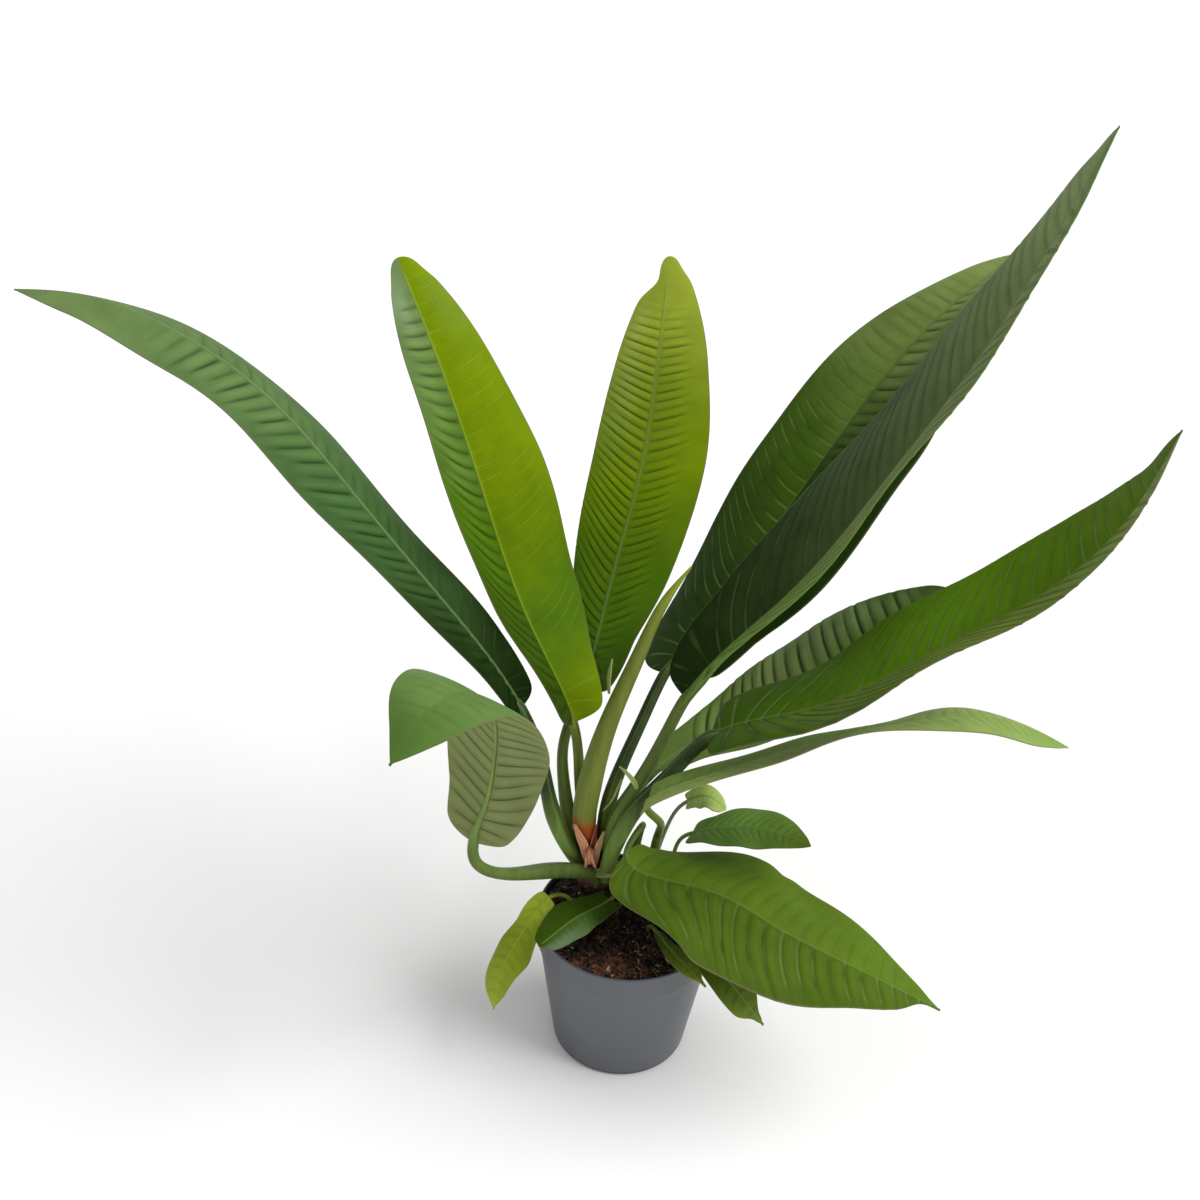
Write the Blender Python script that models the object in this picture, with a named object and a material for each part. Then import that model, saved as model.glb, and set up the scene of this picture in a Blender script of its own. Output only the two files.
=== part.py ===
"""Potted philodendron: a nursery pot of soil with a rosette of long ribbed leaves.

The origin is the middle of the pot's underside, +Z is up, and the plant is seen
from -Y. Leaf routes and sizes are written in millimetres and turned to metres
where a mesh is made.
"""

import math

import bmesh
import bpy
import numpy as np

MM = 0.001
GAP = 0.3

POT_RIM_RADIUS = 60.0
POT_HEIGHT = 105.0
POT_BASE_RADIUS = 46.0
POT_WALL = 1.6
POT_FLOOR = 3.0
POT_EDGE_ROUND = 3.0
RIM_BAND_HEIGHT = 19.0
RIM_BAND_STEP = 1.0
DRAIN_HOLE_RADIUS = 4.0
DRAIN_HOLE_CIRCLE = 30.0
DRAIN_HOLES = 6
DRAIN_TURN = math.radians(7)
POT_SIDES = 60

CROWN_X, CROWN_Y = -22.0, 31.0
CROWN_RADIUS = 14.5
CROWN_TOP = 118.0
CROWN_FOOT = 84.0
CROWN_RING = 10.5

SOIL_LEVEL = 95.0
SOIL_MOUND = 18.0
SOIL_MOUND_SPREAD = 22.0
SOIL_LUMP = 1.2
SOIL_SIDES = 48
STEM_FOOT = 88.0

BLADE_THICKNESS = 0.9
TIP_WIDTH = 0.8
FINE_EDGE = 0.45
MIDRIB_DEPTH = 0.7

# Where along a blade its half-widths are given, as shares of its length.
STATIONS = (0.0, 0.05, 0.25, 0.5, 0.75, 0.93, 1.0)


class Leaf:
    """One leaf: its route from foot to tip, and the shape of its blade.

    Over its settling length past the neck, a blade keeps the heading that it has at its end.
    """

    def __init__(self, name, outward, route, neck, half_widths, roll, fold,
                 lobe=10.0, stalk=(3.3, 4.2, 3.4), rows=30, pleat=1.3,
                 wave=1.5, waves=3.0, sweep=0.35, droop=0.15, uneven=0.0, settle=0.0, colour="leaf"):
        self.name = name
        self.outward = math.radians(outward)
        self.route = np.array(route, dtype=float)
        self.neck = neck
        self.half_widths = half_widths
        self.roll = [math.radians(angle) for angle in roll]
        self.fold = [math.radians(angle) for angle in fold]
        self.lobe = lobe
        self.stalk = stalk
        self.rows = rows
        self.pleat = pleat
        self.wave = wave
        self.waves = waves
        self.sweep = sweep
        self.droop = droop
        self.uneven = uneven
        self.settle = settle
        self.colour = colour


def crown_seat(angle, radius=CROWN_RING):
    """A point on the crown's flat top, where a leaf stalk stands."""
    turn = math.radians(angle)
    return (CROWN_X + radius * math.cos(turn), CROWN_Y + radius * math.sin(turn), CROWN_TOP + GAP)


# Large leaves stand on the crown; the small ones come up through the soil.
LEAVES = [
    Leaf("leaf_far_left", 165,
         [crown_seat(185), (-44, 28.5, 142), (-54, 27.5, 172), (-60, 26.5, 205), (-75, 24, 252),
          (-123, 25, 327), (-175, 33, 392), (-224, 42, 448), (-280, 43, 488), (-327, 37, 506),
          (-354, 30, 509)], 4,
         (17, 25, 31, 31, 19), (-5, 2, 12), (20, -8, -12), lobe=14, stalk=(3.3, 4.8, 3.8), rows=34,
         uneven=-0.08),
    Leaf("leaf_back_left", 125,
         [crown_seat(108), (-36, 47, 180), (-42, 44, 228), (-72, 76, 277), (-107, 118, 349),
          (-139, 150, 426), (-167, 168, 489)], 2,
         (24, 40, 42, 31, 17), (22, 4, -4), (28, 30, 11), lobe=14, stalk=(3.3, 3.6, 3.2),
         uneven=-0.14),
    Leaf("leaf_back", 80,
         [crown_seat(145), (-42, 41, 152), (-47, 47, 180), (-48, 51, 203), (-37, 72, 238),
          (-22, 115, 294), (-7, 160, 350), (1, 208, 409), (6, 250, 471)], 4,
         (17, 34, 39, 32, 17), (-20, -5, -10), (0, 6, 6), lobe=12, stalk=(3.3, 3.8, 3.2), rows=34,
         uneven=-0.09),
    Leaf("leaf_back_right", 50,
         [crown_seat(70), (-14, 42, 176), (2, 62, 216), (17, 90, 239), (71, 140, 302),
          (124, 190, 366), (181, 240, 428), (247, 285, 474)], 3,
         (38, 62, 66, 52, 24), (-20, -14, -25), (0, 8, 20), stalk=(3.3, 4.4, 3.8), rows=34,
         uneven=-0.07),
    Leaf("leaf_tall_right", 15,
         [crown_seat(-14), (-13.5, 28.6, 150), (0, 29, 188), (18, 30, 235), (28, 32, 261),
          (86, 42, 335), (135, 50, 412), (178, 55, 492), (201, 52, 553), (220, 40, 624)], 4,
         (21, 47, 54, 40, 18), (-5, -20, -22), (28, 17, 8), lobe=16, uneven=0.42,
         stalk=(3.3, 4.8, 3.8), rows=36),
    Leaf("leaf_mid_right_rear", 25,
         [crown_seat(30), (-6.5, 39.6, 161), (15, 58, 183), (70, 82, 208), (143, 112, 247),
          (213, 130, 291)], 2,
         (14, 33, 42, 36, 19), (-5, -4, 0), (12, 12, 9), lobe=6, uneven=0.05, stalk=(3.3, 4.0, 3.4),
         rows=26),
    Leaf("leaf_mid_right_front", -5,
         [crown_seat(-54), (-1, 17, 177), (21, 17, 211), (45, 15, 245), (102, 2, 279),
          (161, -6, 326), (211, -8, 366), (255, -5, 416), (279, 5, 475)], 3,
         (32, 40, 43, 42, 20), (-5, 0, -8), (14, 30, 18), lobe=8, stalk=(3.3, 5.2, 4.8), rows=34),
    Leaf("leaf_low_right", 0,
         [(17, 43, STEM_FOOT), (17, 43, 112), (18, 40, 137), (18, 21, 168), (8, -6, 207),
          (57, -7, 237), (129, -6, 269), (202, 0, 281), (268, 18, 249)], 4,
         (14, 20, 30, 24, 8), (-12, -32, -5), (15, 9, -5), lobe=12, stalk=(2.6, 2.8, 2.4), rows=26),
    Leaf("leaf_front_right", -35,
         [(2, 42, STEM_FOOT), (3, 42, 112), (7, 36, 150), (6, 24, 160), (-2.5, 10, 150.5),
          (46, -12, 142), (93, -32, 132), (137, -46, 118), (174, -54, 104), (202, -57, 91)], 4,
         (25, 53, 50, 37, 13), (-5, 0, -15), (5, 0, 10), lobe=5, stalk=(2.4, 2.4, 2.2), rows=30,
         uneven=-0.03, settle=16.0),
    Leaf("leaf_front_left_curled", 222,
         [crown_seat(-92), (-33, 16, 126), (-53, 13, 128), (-84, -4, 139), (-100, -12, 156),
          (-101, -12, 171), (-93, -10, 202), (-88, -8, 237), (-88, -20, 278), (-101, -46, 313),
          (-119, -80, 323), (-137, -105, 304)], 5,
         (23, 37, 42, 34, 18), (25, 10, 0), (8, 8, 5), lobe=2, stalk=(3.3, 4.4, 3.6), rows=26),
    Leaf("leaf_small_right", -10,
         [(29, 37, STEM_FOOT), (29, 37, 104), (33, 47, 128), (42, 40, 144), (72, 30, 159),
          (101, 20, 163), (117, 12, 162)], 3,
         (11, 20, 22, 17, 7), (-5, -3, -3), (10, 10, 10), lobe=5, stalk=(1.8, 1.6, 1.4),
         rows=14, pleat=0.3, wave=0.6),
    Leaf("leaf_small_back", 20,
         [(19, 51, STEM_FOOT), (19, 51, 106), (24, 55, 130), (30, 58, 146), (38, 55, 159),
          (50, 52, 166), (63, 45, 161)], 4,
         (6, 10, 11, 13, 8), (0, 4, 8), (12, 8, 2), lobe=4, stalk=(1.6, 1.4, 1.3),
         rows=12, pleat=0.2, wave=0.4, colour="young_leaf"),
    Leaf("leaf_small_front_left", 240,
         [(-35, 4, STEM_FOOT), (-36, 4, 108), (-43, 5, 114), (-52, 3, 113), (-61, -10, 110),
          (-69, -21, 100), (-81, -36, 81), (-84, -50, 62)], 3,
         (9, 12, 17, 16, 11), (10, 25, 40), (10, 0, 15), lobe=3, stalk=(1.8, 1.6, 1.4),
         rows=14, pleat=0.2, wave=0.6, colour="young_leaf"),
    Leaf("leaf_small_front", 225,
         [(0, 16, STEM_FOOT), (0, 16, 104), (-4, 12, 113), (-12, -1, 117), (-31, -17, 117),
          (-47, -34, 116), (-56, -44, 115)], 3,
         (10, 15, 17, 13, 8), (3, 4, 3), (15, 14, 2), lobe=5, stalk=(1.8, 1.6, 1.4),
         rows=14, pleat=0.3, wave=0.5),
    Leaf("leaf_small_low_right", -50,
         [(32, 2, STEM_FOOT), (32, 2, 101), (38, -8, 109), (45, -26, 112), (66, -50, 100),
          (91, -58, 70)], 2,
         (7, 11, 13, 12, 6), (0, 0, 0), (10, 8, 2), lobe=3, stalk=(1.6, 1.6, 1.4),
         rows=14, pleat=0.3, wave=0.5),
    Leaf("leaf_small_low_front", -60,
         [(15, -8, STEM_FOOT), (15, -8, 102), (20, -21, 110), (29, -40, 113), (42, -58, 114),
          (50, -68, 112)], 2,
         (3, 5, 7, 6, 3), (0, 0, 0), (10, 8, 2), lobe=2, stalk=(1.6, 1.5, 1.3),
         rows=12, pleat=0.2, wave=0.4),
]

SPIKE_ROUTE = [(CROWN_X - 2, CROWN_Y, CROWN_TOP + GAP), (-31.5, 31, 158), (-29.5, 32, 186),
               (-18.5, 34, 240), (-2, 38, 291), (11, 42, 326), (25, 45, 349)]
SPIKE_RADII = (4.2, 8.2, 8.4, 6.2, 4.6, 3.0, 0.6)
SPIKE_RINGS = 22
SPIKE_SIDES = 12

# Foot, middle and tip of each dry scale, and its half-widths there and between.
SCALES = {
    "crown_scale_left": [(-27, 25.6, CROWN_TOP + GAP), (-31, 21.6, 140), (-38, 21.2, 161)],
    "crown_scale_right": [(-22, 25.6, CROWN_TOP + GAP), (-20.5, 21.6, 138), (-17.8, 21.4, 156)],
}
SCALE_HALF_WIDTHS = (1.4, 1.9, 2.6, 2.9, 2.8, 1.9, 0.4)
SCALE_THICKNESS = 0.8


def spline(points):
    """A natural cubic through points, as a function of distance, and the distances."""
    points = np.array(points, dtype=float)
    steps = np.linalg.norm(np.diff(points, axis=0), axis=1)
    knots = np.concatenate([[0.0], np.cumsum(steps)])
    count = len(points)
    matrix = np.eye(count)
    right = np.zeros(points.shape)
    for i in range(1, count - 1):
        matrix[i, i - 1:i + 2] = steps[i - 1], 2 * (steps[i - 1] + steps[i]), steps[i]
        right[i] = 6 * ((points[i + 1] - points[i]) / steps[i]
                        - (points[i] - points[i - 1]) / steps[i - 1])
    bend = np.linalg.solve(matrix, right)

    def place(distance):
        distance = np.atleast_1d(distance)
        i = np.clip(np.searchsorted(knots, distance, side="right") - 1, 0, count - 2)
        step = steps[i][:, None]
        after = (knots[i + 1] - distance)[:, None]
        before = (distance - knots[i])[:, None]
        curve = (bend[i] * after ** 3 + bend[i + 1] * before ** 3) / (6 * step)
        start = (points[i] / step - bend[i] * step / 6) * after
        end = (points[i + 1] / step - bend[i + 1] * step / 6) * before
        return curve + start + end

    return place, knots


def frames(place, distance, outward, step=0.5):
    """Points, headings, left-hand and upper directions along a route."""
    point = place(distance)
    heading = place(distance + step) - place(distance - step)
    heading /= np.linalg.norm(heading, axis=1)[:, None]
    level = np.array([-math.sin(outward), math.cos(outward), 0.0])
    left = level - heading * (heading @ level)[:, None]
    left /= np.linalg.norm(left, axis=1)[:, None]
    return point, heading, left, np.cross(heading, left)


def half_width(share, widths):
    """Half the blade's width at a share of its length, through the stations."""
    x = np.array(STATIONS)
    y = np.array([0.0, *widths, 0.0])
    slope = np.zeros(len(x))
    rise = np.diff(y) / np.diff(x)
    for i in range(1, len(x) - 1):
        if rise[i - 1] * rise[i] > 0:
            slope[i] = 2 * rise[i - 1] * rise[i] / (rise[i - 1] + rise[i])
    slope[0] = 2 * rise[0]
    slope[-1] = 1.4 * rise[-1]
    i = np.clip(np.searchsorted(x, share, side="right") - 1, 0, len(x) - 2)
    step = x[i + 1] - x[i]
    u = (share - x[i]) / step
    return (y[i] * (2 * u ** 3 - 3 * u ** 2 + 1) + step * slope[i] * (u ** 3 - 2 * u ** 2 + u)
            + y[i + 1] * (3 * u ** 2 - 2 * u ** 3) + step * slope[i + 1] * (u ** 3 - u ** 2))


def ease(share, angles):
    """Base, middle and tip angles, turned smoothly from one to the next."""
    part = np.clip(share * 2, 0, 2)
    first = np.clip(part, 0, 1)
    second = np.clip(part - 1, 0, 1)
    first = first * first * (3 - 2 * first)
    second = second * second * (3 - 2 * second)
    return angles[0] + (angles[1] - angles[0]) * first + (angles[2] - angles[1]) * second


ACROSS = (1.0, 0.5, 0.0, -0.5, -1.0)


def stalk_rings(leaf, place, knots):
    """Round rings up the leaf stalk, each with the ten points that the blade has."""
    length = knots[leaf.neck]
    count = max(4, int(length / 14))
    distance = np.linspace(0, length, count + 1)[:-1]
    point, heading, left, upper = frames(place, distance, leaf.outward)
    share = distance / length
    radius = np.interp(share, (0, 0.35, 1), leaf.stalk)
    heading[0], left[0] = (0, 0, 1), (-math.sin(leaf.outward), math.cos(leaf.outward), 0)
    upper[0] = np.cross(heading[0], left[0])
    sides = len(ACROSS) * 2
    rings = []
    for i in range(count):
        turns = [math.pi * (k + 0.5) / len(ACROSS) for k in range(sides)]
        rings.append([point[i] + radius[i] * (math.cos(a) * left[i] + math.sin(a) * upper[i])
                      for a in turns])
    return rings


def blade_rings(leaf, place, knots):
    """Wing-shaped rings, one along each pair of side veins, from the neck to the tip."""
    start, length = knots[leaf.neck], knots[-1] - knots[leaf.neck]
    row = np.linspace(0, 1, leaf.rows + 1)
    share = row ** 1.15
    widths = np.maximum(half_width(share, leaf.half_widths), TIP_WIDTH)
    middle = start + share * length
    onset = np.clip(share / 0.12, 0, 1)
    behind = leaf.lobe * np.sin(math.pi * np.clip(share / 0.1, 0, 1))
    edge = np.minimum(middle + leaf.sweep * widths * (1 - share) * onset - behind, knots[-1])
    ridge = np.where(np.arange(leaf.rows + 1) % 2 == 0, 0.5, -0.5) * leaf.pleat
    ridge *= np.clip(share / 0.08, 0, 1) * np.clip((1 - share) / 0.15, 0, 1)
    rib = MIDRIB_DEPTH * (1 - share) + 1.4 * leaf.stalk[2] * np.exp(-share / 0.06)
    upper_side, lower_side = [], []
    for across in ACROSS:
        reach = abs(across)
        width = widths * (1 + leaf.uneven * np.sign(across))
        distance = middle + (edge - middle) * reach ** 1.5
        point = place(distance)
        _, _, left, upper = frames(place, np.maximum(distance, start + leaf.settle), leaf.outward)
        along = np.clip((distance - start) / length, 0, 1)
        roll = ease(along, leaf.roll)[:, None]
        fold = ease(along, leaf.fold)
        side = left * np.cos(roll) + upper * np.sin(roll)
        lift = upper * np.cos(roll) - left * np.sin(roll)
        out = across * width * np.cos(fold)
        ripple = leaf.wave * reach * np.sin(2 * math.pi * leaf.waves * along + across)
        high = (np.sin(fold) * reach - leaf.droop * reach ** 2) * width
        high += ripple * np.sin(math.pi * along)
        high += ridge * (1 - (2 * reach - 1) ** 2)
        surface = point + side * out[:, None] + lift * high[:, None]
        thick = 0.5 * (BLADE_THICKNESS if reach < 1 else FINE_EDGE * 2)
        below = thick + (rib if across == 0 else 0)
        upper_side.append(surface + lift * thick)
        lower_side.append(surface - lift * np.reshape(below, (-1, 1)))
    rings = []
    for i in range(leaf.rows + 1):
        rings.append([line[i] for line in upper_side] + [line[i] for line in reversed(lower_side)])
    return rings


def skin(name, rings, material):
    """Closes a stack of equal rings into one solid, split alike on both faces."""
    sides = len(rings[0])
    half = sides // 2
    mesh = bmesh.new()
    rows = [[mesh.verts.new(np.array(p) * MM) for p in ring] for ring in rings]
    for lower, upper in zip(rows, rows[1:]):
        for k in range(sides):
            n = (k + 1) % sides
            if k < half:
                mesh.faces.new((lower[k], lower[n], upper[n]))
                mesh.faces.new((lower[k], upper[n], upper[k]))
            else:
                mesh.faces.new((lower[k], lower[n], upper[k]))
                mesh.faces.new((lower[n], upper[n], upper[k]))
    mesh.faces.new(list(reversed(rows[0])))
    mesh.faces.new(rows[-1])
    bmesh.ops.triangulate(mesh, faces=[f for f in mesh.faces if len(f.verts) > 4])
    bmesh.ops.recalc_face_normals(mesh, faces=mesh.faces)
    return finish(name, mesh, material)


def finish(name, mesh, material):
    """Turns a bmesh into a named, smooth-shaded object with its material."""
    data = bpy.data.meshes.new(name)
    mesh.to_mesh(data)
    mesh.free()
    data.materials.append(material)
    data.shade_smooth()
    data.set_sharp_from_angle(angle=math.radians(40))
    piece = bpy.data.objects.new(name, data)
    bpy.context.scene.collection.objects.link(piece)
    return piece


def turned(name, profile, sides, material):
    """A solid turned about the Z axis from an outline that starts and ends on it."""
    mesh = bmesh.new()
    verts = [mesh.verts.new((r * MM, 0, z * MM)) for r, z in profile]
    edges = [mesh.edges.new(pair) for pair in zip(verts, verts[1:])]
    bmesh.ops.spin(mesh, geom=verts + edges, cent=(0, 0, 0), axis=(0, 0, 1),
                   angle=2 * math.pi, steps=sides, use_merge=True)
    bmesh.ops.remove_doubles(mesh, verts=mesh.verts, dist=0.00001)
    bmesh.ops.recalc_face_normals(mesh, faces=mesh.faces)
    return finish(name, mesh, material)


def make_material(name, colour, roughness):
    material = bpy.data.materials.new(name)
    material.use_nodes = True
    shader = material.node_tree.nodes["Principled BSDF"]
    shader.inputs["Base Color"].default_value = (*colour, 1)
    shader.inputs["Roughness"].default_value = roughness
    shader.inputs["Metallic"].default_value = 0
    return material


def cut(piece, cutters):
    """Cuts each guide solid out of a piece."""
    for guide in cutters:
        guide.hide_render = True
        guide.display_type = "WIRE"
        change = piece.modifiers.new(guide.name, "BOOLEAN")
        change.operation = "DIFFERENCE"
        change.object = guide


def peg(name, x, y, bottom, top, radius, sides=24):
    """An upright round guide for a hole."""
    bpy.ops.mesh.primitive_cylinder_add(
        vertices=sides, radius=radius * MM, depth=(top - bottom) * MM,
        location=(x * MM, y * MM, (top + bottom) / 2 * MM))
    guide = bpy.context.object
    guide.name = name
    return guide


def make_pot(material):
    inner_base = POT_BASE_RADIUS - POT_WALL
    band = POT_HEIGHT - RIM_BAND_HEIGHT
    wall_top = POT_RIM_RADIUS - RIM_BAND_STEP - 1
    edge = POT_EDGE_ROUND
    corner = [(POT_BASE_RADIUS - edge + edge * math.sin(a), edge - edge * math.cos(a))
              for a in (0, math.pi / 6, math.pi / 3, math.pi / 2)]
    outer = corner + [(wall_top, band), (POT_RIM_RADIUS - 0.4, band + 0.8),
                      (POT_RIM_RADIUS, POT_HEIGHT - 1), (POT_RIM_RADIUS - 0.6, POT_HEIGHT)]
    inner = [(POT_RIM_RADIUS - POT_WALL, POT_HEIGHT - 0.4), (wall_top - POT_WALL + 0.4, band),
             (inner_base, POT_FLOOR)]
    pot = turned("pot", [(0, 0)] + outer + inner + [(0, POT_FLOOR)], POT_SIDES, material)
    holes = []
    for k in range(DRAIN_HOLES):
        turn = DRAIN_TURN + 2 * math.pi * k / DRAIN_HOLES
        holes.append(peg("drain_guide_%d" % (k + 1), DRAIN_HOLE_CIRCLE * math.cos(turn),
                         DRAIN_HOLE_CIRCLE * math.sin(turn), -1, POT_FLOOR + 1,
                         DRAIN_HOLE_RADIUS, sides=12))
    cut(pot, holes)
    return pot


def soil_height(x, y):
    """The soil's surface: a mound round the crown, with small lumps."""
    away = ((x - CROWN_X) ** 2 + (y - CROWN_Y) ** 2) / (2 * SOIL_MOUND_SPREAD ** 2)
    lumps = math.sin(0.31 * x + 0.9) * math.sin(0.27 * y) + 0.6 * math.sin(0.17 * (x + y) + 2)
    return SOIL_LEVEL + SOIL_MOUND * math.exp(-away) + SOIL_LUMP * lumps


def make_soil(material):
    inner_base = POT_BASE_RADIUS - POT_WALL - GAP
    bottom = POT_FLOOR + GAP
    slope = (POT_RIM_RADIUS - RIM_BAND_STEP - 1 - POT_BASE_RADIUS) / (POT_HEIGHT - RIM_BAND_HEIGHT)
    top_radius = inner_base + slope * (SOIL_LEVEL - 4 - bottom)
    mesh = bmesh.new()
    turns = [2 * math.pi * k / SOIL_SIDES for k in range(SOIL_SIDES)]

    def ring(radius, height):
        return [mesh.verts.new((radius * math.cos(a) * MM, radius * math.sin(a) * MM,
                                height(radius * math.cos(a), radius * math.sin(a)) * MM))
                for a in turns]

    rows = [ring(inner_base, lambda x, y: bottom), ring(top_radius, lambda x, y: SOIL_LEVEL - 4)]
    rows += [ring(top_radius * share, soil_height) for share in (0.995, 0.85, 0.68, 0.5, 0.3, 0.12)]
    for lower, upper in zip(rows, rows[1:]):
        for k in range(SOIL_SIDES):
            n = (k + 1) % SOIL_SIDES
            mesh.faces.new((lower[k], lower[n], upper[n], upper[k]))
    mesh.faces.new(list(reversed(rows[0])))
    peak = mesh.verts.new((0, 0, soil_height(0, 0) * MM))
    for k in range(SOIL_SIDES):
        mesh.faces.new((rows[-1][k], rows[-1][(k + 1) % SOIL_SIDES], peak))
    bmesh.ops.triangulate(mesh, faces=mesh.faces)
    bmesh.ops.recalc_face_normals(mesh, faces=mesh.faces)
    soil = finish("soil", mesh, material)
    holes = [peg("crown_guide", CROWN_X, CROWN_Y, CROWN_FOOT - GAP, 140, CROWN_RADIUS + GAP)]
    for leaf in LEAVES:
        x, y, z = leaf.route[0]
        if z == STEM_FOOT:
            holes.append(peg(leaf.name + "_guide", x, y, z - GAP, 140, leaf.stalk[0] + 1.2, sides=12))
    cut(soil, holes)
    return soil


def make_crown(material):
    top, foot = CROWN_TOP, CROWN_FOOT
    profile = [(0, foot), (CROWN_RADIUS - 2, foot), (CROWN_RADIUS, foot + 3),
               (CROWN_RADIUS, top - 0.6), (CROWN_RADIUS - 0.6, top), (0, top)]
    crown = turned("crown", profile, 28, material)
    for vertex in crown.data.vertices:
        vertex.co.x += CROWN_X * MM
        vertex.co.y += CROWN_Y * MM
    return crown


def make_spike(material):
    """The newest leaf, still rolled up in its sheath."""
    place, knots = spline(SPIKE_ROUTE)
    distance = np.linspace(0, knots[-1], SPIKE_RINGS + 1)
    point, heading, left, upper = frames(place, distance, math.radians(30))
    radius = np.interp(distance, knots, SPIKE_RADII)
    heading[0], left[0] = (0, 0, 1), (-0.5, math.sqrt(0.75), 0)
    upper[0] = np.cross(heading[0], left[0])
    rings = []
    for i in range(SPIKE_RINGS + 1):
        turns = [2 * math.pi * k / SPIKE_SIDES for k in range(SPIKE_SIDES)]
        rings.append([point[i] + radius[i] * (math.cos(a) * left[i] + math.sin(a) * upper[i])
                      for a in turns])
    return skin("leaf_new_rolled", rings, material)


def make_scale(name, route, material):
    """A dry, pointed sheath scale standing on the crown in front of the rolled leaf."""
    place, knots = spline(route)
    side = np.array([1.0, 0.0, 0.0])
    out = np.array([0.0, -1.0, 0.0])
    rings = []
    for k, wide in enumerate(SCALE_HALF_WIDTHS):
        centre = place(knots[-1] * k / (len(SCALE_HALF_WIDTHS) - 1))[0]
        rings.append([centre + out * depth + side * wide * across
                      for across, depth in ((-1, 0), (0, 0), (1, 0), (1, SCALE_THICKNESS),
                                            (0, SCALE_THICKNESS), (-1, SCALE_THICKNESS))])
    return skin(name, rings, material)


def make_leaf(leaf, material):
    place, knots = spline(leaf.route)
    rings = stalk_rings(leaf, place, knots) + blade_rings(leaf, place, knots)
    return skin(leaf.name, rings, material)


def clear_scene():
    for item in list(bpy.data.objects):
        bpy.data.objects.remove(item, do_unlink=True)


def main():
    clear_scene()
    colours = {
        "leaf": make_material("leaf_green", (0.065, 0.16, 0.02), 0.45),
        "young_leaf": make_material("young_leaf_green", (0.2, 0.3, 0.02), 0.5),
        "sheath": make_material("sheath_green", (0.18, 0.26, 0.06), 0.5),
        "scale": make_material("dry_sheath_pink", (0.42, 0.17, 0.1), 0.7),
        "crown": make_material("crown_brown", (0.07, 0.08, 0.025), 0.7),
        "soil": make_material("dark_soil", (0.018, 0.011, 0.008), 0.95),
        "pot": make_material("grey_pot_plastic", (0.14, 0.155, 0.17), 0.5),
    }
    make_pot(colours["pot"])
    make_soil(colours["soil"])
    make_crown(colours["crown"])
    make_spike(colours["sheath"])
    for name, route in SCALES.items():
        make_scale(name, route, colours["scale"])
    for leaf in LEAVES:
        make_leaf(leaf, colours[leaf.colour])


main()
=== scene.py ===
"""The looks of a potted philodendron: ribbed leaves, rolled new leaf, crown, soil and nursery pot.

Leaf routes and sizes are in millimetres, as in the part's source, and are turned to
metres where a mesh is shaped. +Z is up and the plant is seen from -Y.
"""

import math
import random

import bpy
import numpy as np
from bpy.props import FloatProperty, FloatVectorProperty, IntProperty, PointerProperty
from mathutils import Color, Matrix, Vector, noise


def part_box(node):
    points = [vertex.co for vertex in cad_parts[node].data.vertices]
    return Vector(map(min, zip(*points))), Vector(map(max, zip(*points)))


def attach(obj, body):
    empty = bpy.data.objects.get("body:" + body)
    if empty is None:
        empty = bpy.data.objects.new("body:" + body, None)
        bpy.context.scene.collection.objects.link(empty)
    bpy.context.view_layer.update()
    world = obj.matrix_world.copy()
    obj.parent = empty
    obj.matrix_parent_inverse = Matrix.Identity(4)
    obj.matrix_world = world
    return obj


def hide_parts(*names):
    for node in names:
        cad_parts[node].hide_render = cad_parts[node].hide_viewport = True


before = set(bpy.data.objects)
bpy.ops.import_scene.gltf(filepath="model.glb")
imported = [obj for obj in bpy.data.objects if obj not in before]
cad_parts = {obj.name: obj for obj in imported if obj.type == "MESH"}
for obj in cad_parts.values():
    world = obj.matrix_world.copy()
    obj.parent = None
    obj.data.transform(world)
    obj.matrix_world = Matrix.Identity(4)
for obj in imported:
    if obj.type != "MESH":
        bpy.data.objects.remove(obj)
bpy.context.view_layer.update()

bl_info = {
    "name": "Potted Philodendron",
    "version": (1, 0, 0),
    "blender": (4, 5, 0),
    "location": "View3D > Sidebar > Plant",
    "description": "Builds a potted philodendron with ribbed leaves around its solids",
    "category": "Add Mesh",
}

MM = 0.001
BODY = "root"

CROWN_X, CROWN_Y = -22.0, 31.0
CROWN_TOP = 118.0
CROWN_RING = 10.5
STALK_CLEARANCE = 0.3
DRAINAGE_HOLES = 6
SOIL_LEVEL = 95.0
SOIL_MOUND = 18.0
SOIL_MOUND_SPREAD = 22.0
SOIL_REACH = 54.5
CROWN_CLEARANCE = 13.0
HEAP_DEPTH = 0.6
STEM_FOOT = 88.0

# Shares of a blade's length at which its half-widths are given, with a point at each end.
STATIONS = (0.0, 0.05, 0.25, 0.5, 0.75, 0.93, 1.0)
# How rows of points gather towards the tip, and the least half-width there.
ROW_EASE = 1.15
TIP_EASE = 1.15
TIP_WIDTH = 0.8
# How columns of points gather towards the midrib.
COLUMN_EASE = 1.45
# How far a blade's margin runs ahead of its midrib, and how far it droops, in half-widths.
SWEEP = 0.35
DROOP = 0.15
# How unevenly rows of ribs follow one another, as a share of the length.
ROW_WOBBLE = 0.005
# The height, within a swelling between ribs, that lies in the blade's plane.
PILLOW_MEAN = 0.6
# A midrib's height over half its breadth, and its breadth on a small leaf.
RIDGE_HEIGHT = 0.6
SMALL_RIDGE = 0.55
# How far up the route the midrib goes, how much a stalk swells above its foot, and how deep
# the channel on its upper side is, as shares of its radius.
MIDRIB_REACH = 0.985
FOOT_SWELLING = 0.4
CHANNEL_DEPTH = 0.22
# Fine raised threads between one rib and the next.
THREADS_PER_RIB = 4
# How much steeper the outline starts and ends than towards its first and last stations.
START_STEEPNESS = 2
TIP_STEEPNESS = 1.4
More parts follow.
